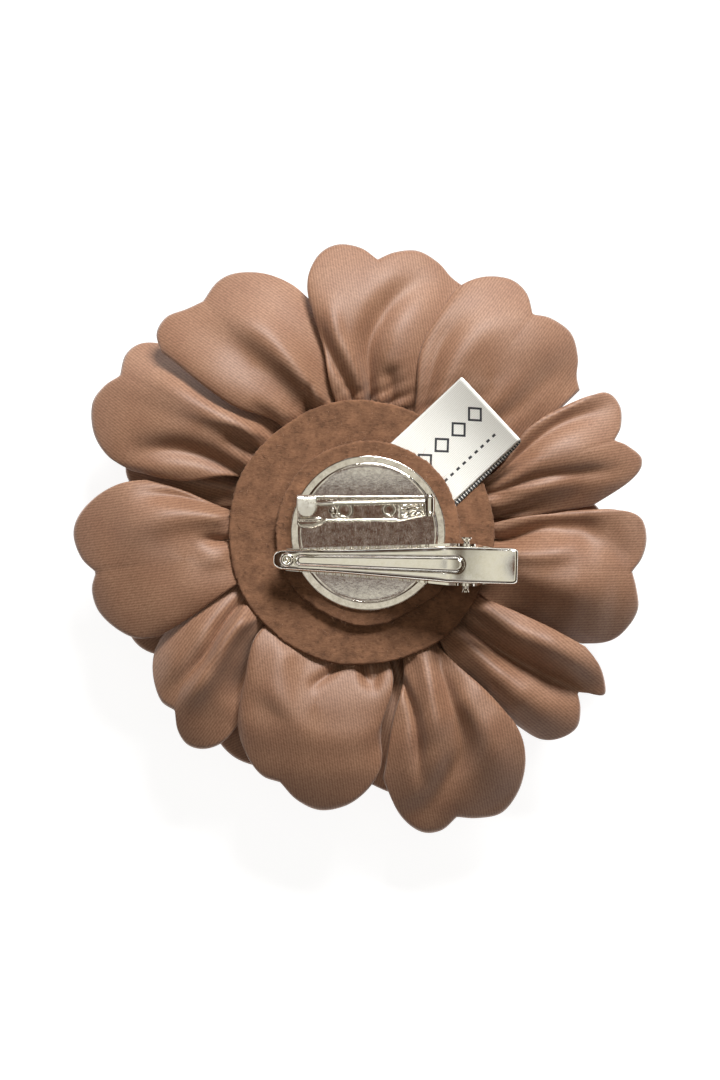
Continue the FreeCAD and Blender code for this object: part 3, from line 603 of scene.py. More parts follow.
def petal_surface(spec, depth, root_radius, felt_radius, seed):
    """Middle surface of a gathered satin petal.

    Height = the ring's depth line over the radius, plus a power of the distance across that turns both sides
    down (cup), plus a smooth step of lift towards each side, plus the folds, plus gathers, plus a slow
    waviness. Gathers are the absolute sine of the distance round, so rounded ribs with sharp furrows, and die
    away within a few millimetres of the felt and towards the sides. Under the large felt and just past its
    edge, a ceiling that rises with the distance past the edge holds the outer ring down. Two passes of a
    1-2-1 average both ways soften what is narrower than the cloth's own bend.
    """
    rows, columns = 84, 72
    opening, gathers_reach, fold_gain, rib_height, rib_drop = 14.0, 3.0, 1.25, 1.45, 0.8
    angle, radius = petal_plan(spec, root_radius, rows, columns)
    rng = np.random.default_rng(seed)
    u = np.linspace(-1, 1, columns)[None, :]
    smooth_depth = curve_through(depth, 120)
    height = np.interp(radius, smooth_depth[:, 0], smooth_depth[:, 1])
    open_out = smoothstep((radius - felt_radius) / opening)
    height = height - spec["cup"] * np.abs(u) ** 2.3 * (0.15 + 0.85 * open_out)
    near_lift, far_lift = spec["lift"]
    sides = near_lift * smoothstep((-0.15 - u) / 0.8) + far_lift * smoothstep((u - 0.15) / 0.8)
    height = height + sides * (0.55 + 0.45 * open_out)
    height = height + fold_gain * fold_height(angle, radius, spec["folds"])
    fade = np.exp(-np.clip(radius - felt_radius, 0, None) / gathers_reach)
    turn = np.radians(angle)
    arc = radius * turn
    rib = rng.uniform(3.2, 4.4)
    ribs = np.abs(np.sin(arc * math.pi / rib + rng.uniform(0, 6)))
    room = np.clip(np.abs(spec["far"][0] - spec["near"][0]) / 36, 0.35, 1)
    inside = 1 - 0.85 * smoothstep((np.abs(u) - 0.55) / 0.4)
    height = height + fade * room * inside * (rib_height * ribs - rib_drop)
    wave = np.sin(arc / 5.1 + rng.uniform(0, 6)) * np.sin(radius / 8.7 + rng.uniform(0, 6))
    height = height + 0.12 * wave * open_out
    x, y = radius * np.cos(turn), radius * np.sin(turn)
    if depth is BACK_DEPTH:
        past_felt = np.hypot(x - LARGE_FELT_SHIFT, y) - LARGE_FELT_RADIUS
        ceiling = LARGE_FELT_LOW - 0.3 + 0.95 * np.clip(past_felt + 0.5, 0, None) ** 1.15
        height = np.minimum(height, ceiling)
    for _ in range(2):
        height[1:-1] = (height[:-2] + 2 * height[1:-1] + height[2:]) / 4
        height[:, 1:-1] = (height[:, :-2] + 2 * height[:, 1:-1] + height[:, 2:]) / 4
    return np.stack([x, y, height], -1)


def edge_thickness(surface, full, soft):
    """Thickness that rises from zero at the border to full within the soft width, as a quarter circle."""
    step_v = np.linalg.norm(np.diff(surface, axis=0), axis=2)
    step_u = np.linalg.norm(np.diff(surface, axis=1), axis=2)
    from_root = np.vstack([np.zeros((1, surface.shape[1])), np.cumsum(step_v, axis=0)])
    from_near = np.hstack([np.zeros((surface.shape[0], 1)), np.cumsum(step_u, axis=1)])
    distance = np.minimum.reduce([from_root, from_root[-1:] - from_root,
                                  from_near, from_near[:, -1:] - from_near])
    inward = np.clip(distance / soft, 0, 1)
    return full * np.sqrt(1 - (1 - inward) ** 2)


def make_petal(ring, number, spec, depth, root_radius, felt_radius, seed, grain):
    """One petal as a closed, gathered satin sheet, with its weave turned by the grain angle."""
    surface = petal_surface(spec, depth, root_radius, felt_radius, seed)
    middle = math.radians((spec["outline"][0][0] + spec["outline"][-1][0]) / 2 + grain)
    along = surface[..., 0] * math.cos(middle) + surface[..., 1] * math.sin(middle)
    across = surface[..., 1] * math.cos(middle) - surface[..., 0] * math.sin(middle)
    soft_edge = 0.8
    thickness = edge_thickness(surface, SATIN_WALL, soft_edge)
    piece = closed_sheet(f"satin_{ring}_petal_{number:02d}", surface, thickness, satin,
                         np.stack([along, across], -1))
    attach(piece, "flower")
    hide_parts(f"{ring}_petal_{number:02d}")


def build_back_petals():
    """The outer ring, petal by petal, with four directions of the grain in turn, 11 degrees apart."""
    root_radius, gathered = 13.0, 23.5
    for i, spec in enumerate(BACK_PETALS):
        make_petal("back", i + 1, spec, BACK_DEPTH, root_radius, gathered, 40 + i, 35 + 11 * (i % 4))


def ring_petal(centre, half, lobe, notch, size, rng):
    """A plain two-lobed petal of an inner ring: outline, cup and a few folds that fan out from its root."""
    wobble = rng.uniform(-0.6, 0.6, 9)
    shares = [-1.0, -0.86, -0.66, -0.42, -0.2, 0.0, 0.22, 0.44, 0.68, 0.86, 1.0]
    radii = [0.87, 0.95, 0.985, 1.0, 0.985, notch / lobe, 0.985, 1.0, 0.98, 0.94, 0.87]
    outline = [(centre + half * a, lobe * r + (wobble[i % 9] if 0 < i < 10 else 0.0))
               for i, (a, r) in enumerate(zip(shares, radii))]
    folds = []
    for share in (-0.55, -0.15, 0.25, 0.6):
        bend = rng.uniform(-3, 3)
        height = rng.uniform(0.7, 1.3) * (1 if rng.random() < 0.5 else -1)
        folds.append(([(centre + 0.8 * half * share, 22 * size), (centre + half * share + bend, 31 * size),
                       (centre + 1.1 * half * share + bend, 42 * size)], height, 1.0, 3.0))
    at_felt, at_middle = 0.86 * half, 0.95 * half
    return dict(near=(centre - at_felt, centre - at_middle), far=(centre + at_felt, centre + at_middle),
                outline=outline, notch=5, lift=(-0.9, 0.9), cup=1.6, folds=folds, size=size)


# The two inner rings: the first petal's start in degrees, the radius of the lobes and of the notch, the
# ring's size beside the outer one's, the radius of the roots and the one where the gathers begin to fade,
# the depth line, each petal's reach as a share, and the piece that the roots rest on.
INNER_RINGS = {
    "middle": dict(start=10.0, lobe=47.5, notch=45.0, size=1.0, root=10.0, gathered=24.0,
                   depth=[(9, 11.0), (16, 11.9), (24, 12.6), (36, 13.2), (43, 11.6), (50, 8.6)],
                   reach=[0.89, 0.92, 0.88, 0.97, 1.0, 1.0, 1.02, 0.96, 0.91], rests_on="core_felt_front"),
    "front": dict(start=4.0, lobe=37.0, notch=34.6, size=0.8, root=8.5, gathered=18.0,
                  depth=[(8, 8.8), (14, 8.8), (20, 8.7), (30, 6.6), (36, 3.4), (40, 1.0)],
                  reach=[1.0] * 7, rests_on="button_back"),
}


def build_inner_petals():
    """The middle ring of nine and the front ring of seven, each petal a little different."""
    for name, ring in INNER_RINGS.items():
        count = len(ring["reach"])
        rng = np.random.default_rng(count)
        for i, reach in enumerate(ring["reach"]):
            centre = ring["start"] + (i + 0.5) * 360 / count
            spec = ring_petal(centre, 0.56 * 360 / count, ring["lobe"] * reach, ring["notch"] * reach,
                              ring["size"], rng)
            make_petal(name, i + 1, spec, ring["depth"], ring["root"], ring["gathered"],
                       100 + 10 * count + i, 20 + 13 * (i % 5))


# ---------------------------------------------------------------- button, felts, threads and label

def build_button():
    """Satin-covered button: a low crown whose cloth is pleated over the rim and tucked in behind.

    Radius and height gain a ripple of 26 pleats, the absolute sine of 13 turns, that grows over the rim from
    nothing on the crown to 0.22 mm at the back.
    """
    outer = curve_through([(0.05, 0.02), (3.0, 0.0), (5.5, 0.03), (7.6, 0.75), (8.7, 2.4), (9.0, 4.2),
                           (8.8, 6.0), (8.1, 7.2), (7.0, 7.6)], 56)
    inner = curve_through([(6.9, 7.45), (7.8, 7.0), (8.4, 5.9), (8.6, 4.2), (8.3, 2.6), (7.3, 1.15),
                           (5.4, 0.45), (3.0, 0.42), (0.05, 0.44)], 48)

    def pleats(row, angle, radius):
        grow = smoothstep((row - 22) / 26) * (row < 58)
        ripple = 0.22 * grow * (np.abs(np.sin(13 * angle + 0.4 * np.sin(5 * angle))) - 0.6)
        return ripple, -0.4 * ripple

    piece = turned("satin_button_cover", np.vstack([outer, inner]), satin, 208, pleats)
    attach(piece, "flower")
    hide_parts("button_cover")


def cut_edge(angle, rng, coarse, fine):
    """Radius change round a hand-cut edge: long waves from the scissors and short ones from fibres."""
    change = np.zeros_like(angle)
    for low, high, size in ((3, 9, coarse), (14, 40, coarse * 0.35), (70, 150, fine)):
        for turns in rng.integers(low, high, 5):
            change = change + size / 5 * np.sin(turns * angle + rng.uniform(0, 6.3))
    return change


def felt_disc(name, node_name, radius, low, high, shift, cloth, seed, trim=None):
    """Hand-cut felt disc, shifted along X: a flat slab with soft rounded edges.

    The edge is a quarter circle above and below. The radius changes round the cut as sums of sines, and stops
    at a straight trim, which is (degrees, distance). The top swells by sums of sines over the plan.
    """
    rng = np.random.default_rng(seed)
    edge, columns = 0.45, 540
    turn = np.linspace(0, math.pi / 2, 6)
    inside = np.linspace(0.04, 0.97, 26)
    under = [(t, 0.0, low) for t in inside]
    rim = ([(1.0, -edge * (1 - math.sin(a)), low + edge * (1 - math.cos(a))) for a in turn]
           + [(1.0, -edge * (1 - math.cos(a)), high - edge * (1 - math.sin(a))) for a in turn])
    over = [(t, 0.0, high) for t in inside[::-1]]
    rows = np.array(under + rim + over)
    angle = np.linspace(0, 2 * math.pi, columns, endpoint=False)[None, :]
    reach = radius + cut_edge(angle, rng, 0.3, 0.1)
    if trim is not None:
        away = np.maximum(np.cos(angle - math.radians(trim[0])), 0.5)
        reach = np.minimum(reach, trim[1] / away + 0.3 * cut_edge(angle, rng, 0.2, 0.1))
    from_centre = rows[:, :1] * reach + rows[:, 1:2]
    x, y = from_centre * np.cos(angle) + shift, from_centre * np.sin(angle)
    swell = 0.05 * np.sin(x / 1.9 + seed) * np.sin(y / 2.3) + 0.04 * np.sin(x / 0.7) * np.sin(y / 0.9 + seed)
    height = rows[:, 2:] + np.where(rows[:, 2:] > (low + high) / 2, swell - 0.04, 0.0)
    piece = ringed_shell(name, np.stack([x, y, height + 0 * x], -1), cloth, np.stack([x, y], -1))
    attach(piece, "flower")
    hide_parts(node_name)


def felt_fuzz(name, count, seed):
    """Loose wool fibres that stand off the felts' tops and cut edges.

    Each fibre is a thin three-sided hair along a bent line: a straight start, plus a sideways curl that grows
    with the square of the distance along it. It thins to a point.
    """
    rng = np.random.default_rng(seed)
    steps, sides = 6, 3
    on_edge = rng.random(count) < 0.6
    on_large = rng.random(count) < 0.62
    outer = np.where(on_large, LARGE_FELT_RADIUS, SMALL_FELT_RADIUS)
    top = np.where(on_large, LARGE_FELT_HIGH, SMALL_FELT_HIGH) - 0.05
    turn = rng.uniform(0, 2 * math.pi, count)
    radius = np.where(on_edge, outer - rng.uniform(0.0, 0.5, count), rng.uniform(14.4, outer - 0.5))
    height = np.where(on_edge, top - rng.uniform(0.1, 1.1, count), top)
    start = np.stack([radius * np.cos(turn) + LARGE_FELT_SHIFT * on_large, radius * np.sin(turn), height], -1)
    heading = turn + rng.normal(0, 1.0, count) + np.where(on_edge, 0.0, rng.uniform(0, 6.3, count))
    rise = rng.uniform(0.0, 0.45, count)
    ahead = np.stack([np.cos(heading), np.sin(heading), rise], -1)
    aside = np.stack([-np.sin(heading), np.cos(heading), 0 * rise], -1) * rng.normal(0, 0.5, count)[:, None]
    length = rng.gamma(2.0, 0.32, count)[:, None, None]
    t = np.linspace(0, 1, steps)[None, :, None]
    line = start[:, None] + length * (ahead[:, None] * t + (aside[:, None] - [0, 0, 0.3]) * t ** 2)
    thick = 0.032 * (1 - 0.8 * t)
    corner = np.linspace(0, 2 * math.pi, sides, endpoint=False)
    side = np.stack([-np.sin(heading), np.cos(heading), 0 * rise], -1)
    ring_at = side[:, None, None] * np.cos(corner)[:, None] + np.array([0, 0, 1.0]) * np.sin(corner)[:, None]
    points = line[:, :, None] + thick[..., None] * ring_at
    body = grid_faces(steps, sides, wrap=True)
    caps = np.array([[2, 1, 0, 0], [0, 1, 2, 2]]) + np.array([[0], [(steps - 1) * sides]])
    faces = np.concatenate([body, caps])[None] + (np.arange(count) * steps * sides)[:, None, None]
    piece = add_mesh(name, points.reshape(-1, 3), faces.reshape(-1, 4), wool_fibre)
    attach(piece, "flower")


def build_label():
    """Woven ribbon folded into a loop: flat under the small felt, then lifting off the big one to its fold.

    Along the ribbon, the path runs out in the upper layer, round the fold as half an ellipse and back in the
    lower layer. The upper layer lifts with the square of the distance past the felt's edge; the lower one
    lags and is swung a little, so that its side shows past the upper one's. Across, the ribbon is crowned.
    """
    out, back, fold = 88, 60, 14
    first, bend_from, last = 10.0, 18.0, 30.9
    ribbon_half, ribbon_wall, ribbon_length = 7.75, 0.17, 40.0

    def lift(s, amount):
        return amount * np.clip((s - bend_from) / (last - bend_from), 0, 1) ** 2

    s_out = np.linspace(first, last, out)
    s_back = np.linspace(last, first + 3, back)
    turn = np.linspace(0, math.pi, fold + 2)[1:-1]
    gap = 0.45
    top_z, low_z = 20.17 + lift(s_out, 3.3), 19.9 + lift(s_back, 3.05)
    middle_z, half_gap = (top_z[-1] + low_z[0]) / 2, (top_z[-1] - low_z[0]) / 2
    s = np.concatenate([s_out, last + gap * np.sin(turn), s_back])
    z = np.concatenate([top_z, middle_z + half_gap * np.cos(turn), low_z])
    along = np.concatenate([[0], np.cumsum(np.hypot(np.diff(s), np.diff(z)))])
    across = np.linspace(-1, 1, 44)
    row = np.arange(len(s))
    swing = smoothstep((row - out) / (fold + 8.0))[:, None]
    w = ribbon_half * across[None, :] + 0 * s[:, None]
    x = s[:, None] + 0 * w
    bulge = 0.16 * np.sin(along / 3.0)[:, None] * (1 - w ** 2 / 60) * smoothstep((x - 20) / 6)
    height = z[:, None] + bulge + 0.0015 * (30 - w ** 2 / 2) * smoothstep((x - 20) / 6)
    angle, side_shift = math.radians(43), 1.3
    w_shift = w + side_shift - swing * (0.55 + 0.02 * (last - x))
    surface = np.stack([x * math.cos(angle) - w_shift * math.sin(angle),
                        x * math.sin(angle) + w_shift * math.cos(angle), height], -1)
    thickness = edge_thickness(surface, ribbon_wall, 0.12)
    back_side = (row > out + fold // 2)[:, None] * LABEL_BACK
    uv = np.stack([along[:, None] + 0 * w, w + back_side], -1)
    piece = closed_sheet("woven_label_loop", surface[:, ::-1], thickness[:, ::-1], label_cloth, uv[:, ::-1])
    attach(piece, "flower")
    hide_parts("label")


build_back_petals()
build_inner_petals()
build_button()
felt_disc("felt_backing_large", "big_felt", LARGE_FELT_RADIUS, LARGE_FELT_LOW, LARGE_FELT_HIGH,
          LARGE_FELT_SHIFT, felt_cloth, 5)
felt_disc("felt_backing_small", "small_felt", SMALL_FELT_RADIUS, LARGE_FELT_HIGH, SMALL_FELT_HIGH, 0.0,
          felt_cloth, 6, trim=(-60, 15.9))
felt_disc("core_felt_back", "back_core_disc", 14.0, 13.35, 14.35, 0.0, core_cloth, 7)
felt_disc("core_felt_front", "front_core_disc", 12.0, 10.15, 10.65, 0.0, core_cloth, 8)
felt_fuzz("felt_loose_fibres", 1500, 3)
build_label()


# ---------------------------------------------------------------- metal finding

def build_disc():
    """Pressed disc, turned from a profile: a broad sloping rim, a narrow step and a bright floor.

    The floor is flat along X and sags by up to 0.4 mm with the cube of the distance from its line along X.
    """
    r = np.linspace(0.2, 12.25, 40)
    floor = np.stack([r, DISC_FLOOR + 0 * r], -1)
    step = curve_through([(12.3, 22.56), (12.38, 22.46), (12.45, 22.28), (12.56, 22.17)], 12)
    rim = curve_through([(12.62, 22.15), (12.9, 22.105), (13.3, 22.045), (13.72, 21.98), (13.86, 21.9),
                         (13.97, 21.7), (13.93, 21.5)], 36)
    under = [(13.6, 21.41), (13.0, 21.42), (12.4, 21.5), (12.0, 21.75), (11.6, 21.9)]
    inner = [(9.0, 22.0), (5.0, 22.1), (0.2, 22.1)]
    profile = np.vstack([floor, step, rim, under, inner])[::-1]
    top_from = len(profile) - len(floor) - len(step)

    def sag(row, angle, radius):
        on_floor = (1 - smoothstep((radius - 12.2) / 0.35)) * (row >= top_from)
        drop = 0.4 * np.abs(radius * np.sin(angle) / 12) ** 3 * on_floor
        return 0 * drop, -drop

    piece = turned("nickel_disc", profile, disc_nickel, 256, sag)
    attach(piece, "flower")
    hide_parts("metal_disc")


def clip_place(points):
    """From the clip's own line to its place on the disc: a turn about Z, then a shift along Y."""
    a = math.radians(JAW_TURN)
    x, y, z = points[..., 0], points[..., 1], points[..., 2]
    return np.stack([x * math.cos(a) - y * math.sin(a), x * math.sin(a) + y * math.cos(a) + JAW_SHIFT, z], -1)


def channel_section(half, depth, corner, columns):
    """Section across the jaw, as (across, drop): wall, rounded corner, plate, rounded corner and wall.

    Each stretch keeps a fixed share of the columns, so lines along the jaw stay straight.
    """
    t = np.linspace(-1, 1, columns)[None, :]
    a = np.abs(t)
    plate, bend = 0.62, 0.80
    on_plate = np.clip(a / plate, 0, 1)
    round_at = np.clip((a - plate) / (bend - plate), 0, 1) * math.pi / 2
    down = np.clip((a - bend) / (1 - bend), 0, 1)
    flat = np.maximum(half - corner, 0.02)
    across = flat * on_plate + (half - flat) * np.sin(round_at)
    drop = corner * (1 - np.cos(round_at)) + np.maximum(depth - corner, 0.05) * down
    return np.sign(t) * across, drop


def build_top_jaw():
    """Sprung jaw in one pressed sheet: round nose, tapered channel, raised rib, bowed lever.

    Height along the jaw is a smooth curve through its stations, less the section's drop. The rib is a long
    ridge with round ends: its height is a smooth step of the distance from the jaw's middle line, with a
    shallow groove on either side, and its half width grows from 0.62 to 1.1 mm towards the lever. A round pip
    with a sunk middle stands near the nose, and the plate is crowned across.
    """
    rows, columns = 420, 120
    nose_at, lever_end, jaw_wall = -17.05, 26.5, 0.42
    rib_start, rib_end, pip_at = -12.0, 15.6, -14.5
    x = np.linspace(nose_at, lever_end, rows)[:, None]
    crest = curve_through([(-17.1, 1.9), (-15.4, 2.7), (-5, 4.0), (4, 5.3), (12, 6.45), (14.8, 6.8),
                           (17.5, 7.58), (20.3, 8.25), (23.4, 8.8), (25.8, 9.05), (26.3, 8.95),
                           (26.5, 8.7)], 400)
    crest_z = DISC_FLOOR + np.interp(x, crest[:, 0], crest[:, 1])
    rounding = np.clip((x + 17.1) / 1.6, 0, 1)
    half = np.interp(x, [-15.5, -5, 12, 14.2, 14.6, 26.6], [1.62, 1.98, 2.92, 3.05, 3.02, 3.0])
    half = half * np.sqrt(1 - (1 - rounding) ** 2)
    tail = np.clip((x - 25.3) / 1.3, 0, 1)
    half = half - 0.5 * tail ** 3
    depth = np.interp(x, [-17, -5, 12, 14.5, 20.5, 23.6, 26.6], [1.0, 1.8, 2.3, 1.7, 1.2, 0.55, 0.5])
    corner = np.minimum(np.interp(x, [12, 16], [0.75, 0.42]), half * 0.45)
    across, drop = channel_section(half, np.minimum(depth, half * 2), corner, columns)
    nose_drop = 0.5 * np.clip(1 - (x + 17.1) / 1.7, 0, 1)
    middle = np.clip(x, rib_start, rib_end)
    rib_half = np.interp(middle, [rib_start, rib_end], [0.62, 1.1])
    reach = np.hypot(x - middle, across) - rib_half
    rib = 0.42 * smoothstep(0.5 - reach / 0.5) - 0.12 * np.exp(-((reach - 0.42) / 0.16) ** 2)
    pip = np.hypot(x - pip_at, across)
    pip_height = 0.3 * smoothstep((1.15 - pip) / 0.25) - 0.5 * smoothstep((0.7 - pip) / 0.2)
    pip_height = pip_height + 0.25 * smoothstep((0.36 - pip) / 0.18)
    crown = 0.16 * (1 - (across / np.maximum(half, 0.3)) ** 2)
    height = crest_z - drop - nose_drop + crown + rib + pip_height - 0.12
    surface = np.stack([x + 0 * across, across, height], -1)
    thickness = edge_thickness(surface, jaw_wall, 0.2)
    piece = closed_sheet("nickel_top_jaw", clip_place(surface), thickness, nickel,
                         np.stack([x + 0 * across, across], -1))
    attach(piece, "clip_jaw")
    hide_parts("clip_top_jaw")
    for side, place in ((-1, "near"), (1, "far")):
        ear_plate(f"nickel_jaw_ear_{place}", "clip_jaw", JAW_RIVET, 2.62 * side, 3.07 * side, 0.62, 1.72, 0.9,
                  clip_place)


def ear_plate(name, body, centre, inner_y, outer_y, bore, radius, foot, placed):
    """Upright ear round a rivet: a ring surface with bevelled rims, drawn out on one side to a straight foot.

    Each ring of the surface is a circle about the rivet, whose outer points are carried along Z by the foot's
    length times the positive part of the sine. placed is the function that takes the points to their place.
    """
    columns, bevel, rim, sheet = 72, 0.07, 0.12, outer_y - inner_y
    way = 1 if sheet > 0 else -1
    angle = np.linspace(0, 2 * math.pi, columns, endpoint=False)[None, :]
    profile = np.array([(bore, 0.0), (bore, sheet), (bore + bevel, sheet), (radius - rim, sheet),
                        (radius, sheet - way * bevel), (radius, way * bevel), (radius - rim, 0.0)])
    reach = profile[:, :1] + 0 * angle
    drawn = np.clip(np.sin(angle) * math.copysign(1, foot), 0, 1) * (profile[:, :1] > bore + 0.2) * foot
    x, z = centre[0] + reach * np.cos(angle), centre[1] + reach * np.sin(angle) + drawn
    rings = np.stack([x, inner_y + profile[:, 1:] + 0 * angle, z], -1)
    rings = placed(rings if way > 0 else rings[:, ::-1])
    j = np.arange(columns)
    last = (len(profile) - 1) * columns
    closing = np.stack([j + last, (j + 1) % columns + last, (j + 1) % columns, j], -1)[:, ::-1]
    faces = np.concatenate([grid_faces(len(profile), columns, wrap=True, flip=True), closing])
    piece = add_mesh(name, rings.reshape(-1, 3), faces, nickel)
    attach(piece, body)


def build_spring():
    """Torsion spring of drawn wire: 4.5 turns round the rivet and a straight leg to each lever.

    The coil is a helix about the rivet's line; its ends leave along tangents and end under each lever.
    """
    mean, wire, half_length, turns = 1.45, 0.2, 1.9, 4.5
    t = np.linspace(0, 1, 260)
    angle = -math.pi / 2 - 2 * math.pi * turns * t
    coil = np.stack([JAW_RIVET[0] + mean * np.cos(angle), half_length * (2 * t - 1),
                     JAW_RIVET[1] + mean * np.sin(angle)], -1)
    low_leg = np.array([[21.9, -half_length, 23.35], [19.6, -half_length, 24.7]])
    high_leg = np.array([[20.4, half_length, 29.55], [23.0, half_length, 30.45]])
    path = curve_through(np.vstack([low_leg, coil[::6], high_leg]), 520)
    piece = ringed_shell("spring_coil", clip_place(tube_rings(path, wire, 12)), spring_wire)
    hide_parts("clip_spring")
    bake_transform(piece)


def build_pin_bar():
    """Bar of the pin in one pressed sheet: plate, two drawn holes, rolled front edge, flange, catch and ears.

    The plate is a grid in its plan outline. Its height adds: a bell curve along the front edge, a smooth step
    up to the back flange, a collar (bell curve of the distance from a circle) and a drop inside it for each
    hole, a small dome, and towards the hinge three ridges that converge, as sine ribs under a smooth step.
    """
    rows, columns = 360, 110
    catch_end, hinge_end, back_edge, plate_height, bar_wall = -12.65, 11.9, 6.7, 22.87, 0.46
    x = np.linspace(catch_end, hinge_end, rows)[:, None]
    front = np.interp(x, [-12.65, -12.3, -11.9, -10.0, -8.4, -7.6, 5.4, 11.2, 11.9],
                      [1.7, 1.1, 0.9, 0.9, 1.45, 1.95, 2.0, 3.2, 3.7])
    y = front + (back_edge - front) * np.linspace(0, 1, columns)[None, :]
    height = 0.2 * np.exp(-((y - front - 0.3) / 0.17) ** 2) + 0.5 * smoothstep((y - 5.95) / 0.7)
    height = height + 0.22 * np.exp(-((y - 2.45) / 0.2) ** 2) * smoothstep((-8.2 - x) / 0.8)
    for hole_x, hole_y, hole in ((-4.2, 4.1, 1.15), (3.85, 4.2, 0.95)):
        away = np.hypot(x - hole_x, y - hole_y) - hole
        collar = 0.24 * np.exp(-((away - 0.1) / 0.15) ** 2)
        height = height + collar - 0.4 * smoothstep((0.05 - away) / 0.16)
    height = height + 0.4 * np.clip(1 - ((x + 6.3) ** 2 + (y - 4.05) ** 2) / 0.4, 0, 1)
    height = height + 0.25 * np.exp(-((x + 5.7) / 0.5) ** 2 - ((y - 3.2) / 0.3) ** 2)
    near_hinge = (smoothstep((x - 5.2) / 2.0) * smoothstep((5.4 - y) / 0.5)
                  * smoothstep((y - front - 0.4) / 0.5))
    ribs = np.abs(np.sin((y - 4.4 - 0.06 * (x - 5)) * 3.3 + 0.5 * np.sin(x * 2.1)))
    height = height + 0.42 * near_hinge * ribs * (0.8 + 0.2 * np.sin(3.4 * x))
    surface = np.stack([x + 0 * y, y, plate_height + height], -1)
    piece = closed_sheet("nickel_pin_bar", surface, edge_thickness(surface, bar_wall, 0.2), bar_nickel,
                         np.stack([x + 0 * y, y], -1))
    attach(piece, "flower")
    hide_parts("pin_bar")
    for place, inner, outer in (("near", 3.3, 3.75), ("far", 6.3, 6.7)):
        ear_plate(f"nickel_bar_ear_{place}", "flower", PIN_RIVET, inner, outer, 0.47, 0.95, -0.9, np.asarray)


def build_catch():
    """Catch of the bar: a strap that stands up from the back edge, turns over the needle and ends half round.

    It follows a smooth curve of (Y, Z) points. Across, its width is constant and then a half circle, and its
    height is a low arch, the square of the distance from its middle line.
    """
    rows, columns = 120, 48
    centre_x, half_width = -11.0, 1.78
    path = curve_through([(6.55, 22.95), (6.62, 24.0), (6.6, 25.2), (6.3, 25.8), (5.6, 25.97), (4.4, 25.98),
                          (2.95, 25.8)], rows)
    along = np.concatenate([[0], np.cumsum(np.linalg.norm(np.diff(path, axis=0), axis=1))])[:, None]
    side = np.linspace(-1, 1, columns)[None, :]
    to_end = along[-1, 0] - along
    rounding = np.clip((half_width - to_end) / 1.8, 0, 1)
    half = half_width * np.sqrt(np.clip(1 - rounding ** 2, 0.0004, 1))
    x = centre_x + half * side
    over = smoothstep((along - 2.4) / 1.2)
    z = path[:, 1:] - 0.14 * over * ((x - centre_x) / half_width) ** 2
    surface = np.stack([x, path[:, :1] + 0 * x, z], -1)
    piece = closed_sheet("nickel_catch", surface, edge_thickness(surface, 0.34, 0.18), catch_nickel,
                         np.stack([x, along + 0 * x], -1))
    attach(piece, "flower")


def finish_node(name, material):
    """A CAD node keeps its shape and takes a better material."""
    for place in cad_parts[name].material_slots:
        place.material = material


build_disc()
build_top_jaw()
build_spring()
build_pin_bar()
build_catch()
for metal in ("pin_hinge_rivet", "pin_knuckle", "pin_needle", "clip_pivot_rivet"):
    finish_node(metal, wire_nickel)
finish_node("clip_lower_jaw", nickel)
for metal in ("button_shell", "button_back", "button_shank"):
    finish_node(metal, button_tin)
for cord in ("back_gather_thread", "middle_gather_thread", "front_gather_thread", "centre_stitch"):
    finish_node(cord, thread)


# ---------------------------------------------------------------- floor, light and camera

def build_floor():
    """Pale matt board under the flower, softly lit from within like a light table."""
    board = new_material("white_board", Base_Color=linear("#8e8e8e"), Roughness=0.9,
                         Emission_Color=(1, 1, 1, 1), Emission_Strength=0.9)[0]
    half, height = 1500.0, -0.2
    points = [(-half, -half, height), (half, -half, height), (half, half, height), (-half, half, height)]
    floor = add_mesh("floor", points, [[0, 1, 2, 3]], board, smooth=False)


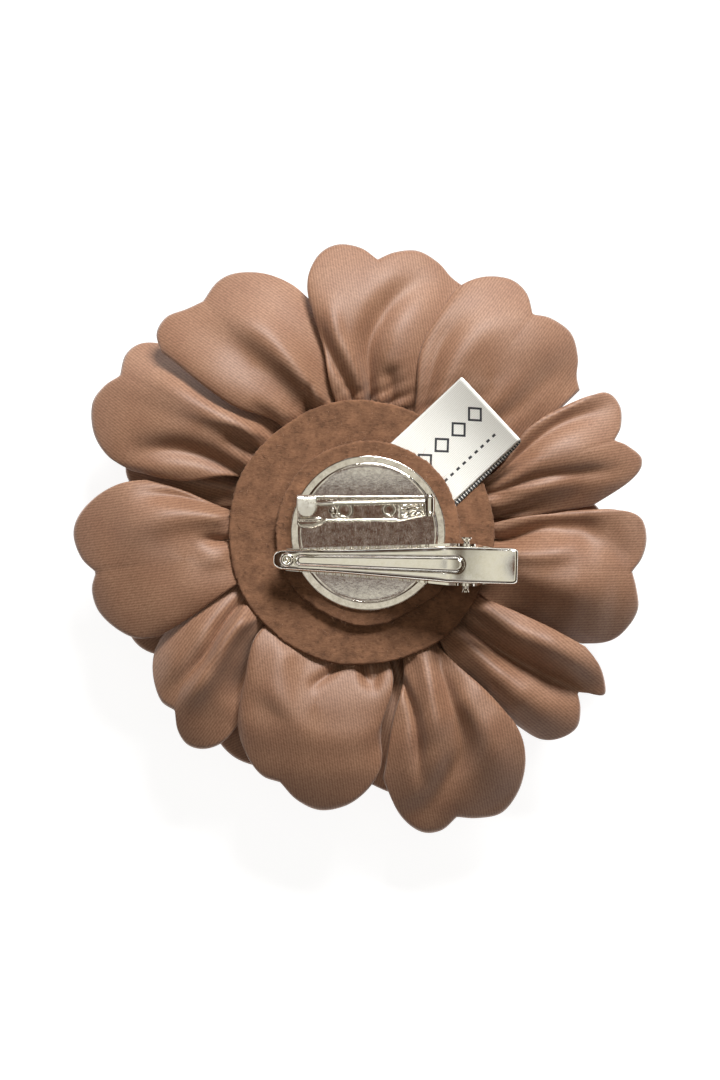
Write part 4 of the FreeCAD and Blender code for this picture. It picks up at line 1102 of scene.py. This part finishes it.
def build_world():
    """Studio dome, by the height of the direction: dark low down, bright high up, brown straight above."""
    world = bpy.data.worlds.new("studio")
    bpy.context.scene.world = world
    world.use_nodes = True
    tree = world.node_tree
    tree.nodes.clear()
    direction = node(tree, "ShaderNodeTexCoord").outputs["Generated"]
    parts = node(tree, "ShaderNodeSeparateXYZ", links={"Vector": direction})
    dome = node(tree, "ShaderNodeValToRGB", links={"Fac": parts.outputs["Z"]},
                stops=[(0.0, "#2a1b12"), (0.5, "#3b291e"), (0.78, "#57493d"), (0.86, "#a29e92"),
                       (0.945, "#e2decf"), (0.976, "#dcd8ca"), (0.987, "#bab9b7"), (0.9965, "#604433")])
    back = node(tree, "ShaderNodeBackground", {"Strength": 1.0}, {"Color": dome.outputs[0]})
    node(tree, "ShaderNodeOutputWorld", links={"Surface": back.outputs[0]})


def area_light(name, place, size, power):
    """White rectangular soft box that faces the flower, in metres and watts."""
    light = bpy.data.lights.new(name, "AREA")
    light.shape = "RECTANGLE"
    light.size, light.size_y = size
    light.energy = power
    made = bpy.data.objects.new(name, light)
    bpy.context.scene.collection.objects.link(made)
    made.location = place
    away = np.array(place) - np.array([0, 0, 0.02])
    made.rotation_euler = (math.atan2(math.hypot(away[0], away[1]), away[2]), 0.0,
                           math.atan2(away[0], -away[1]))


def build_lights():
    """Large key from the +Y side, high up, and a weak fill from the other side."""
    area_light("key", (0.16, 0.64, 0.54), (0.34, 0.22), 11.6)
    area_light("fill", (-0.5, -0.6, 0.9), (0.8, 0.8), 0.4)


def build_camera():
    """Straight above the flower's back, with +Y up in the view, which is 194.4 mm high."""
    distance, plane = 0.8, 0.02
    shown_height = 194.4 * MM
    camera = bpy.data.cameras.new("camera")
    camera.sensor_width = 36.0
    camera.lens = 36.0 * distance / shown_height
    camera.clip_start, camera.clip_end = 0.05, 10.0
    made = bpy.data.objects.new("camera", camera)
    bpy.context.scene.collection.objects.link(made)
    made.location = (-1.44 * MM, -1.26 * MM, plane + distance)
    bpy.context.scene.camera = made


build_floor()
build_world()
build_lights()
build_camera()
bpy.context.scene.view_settings.view_transform = "Standard"
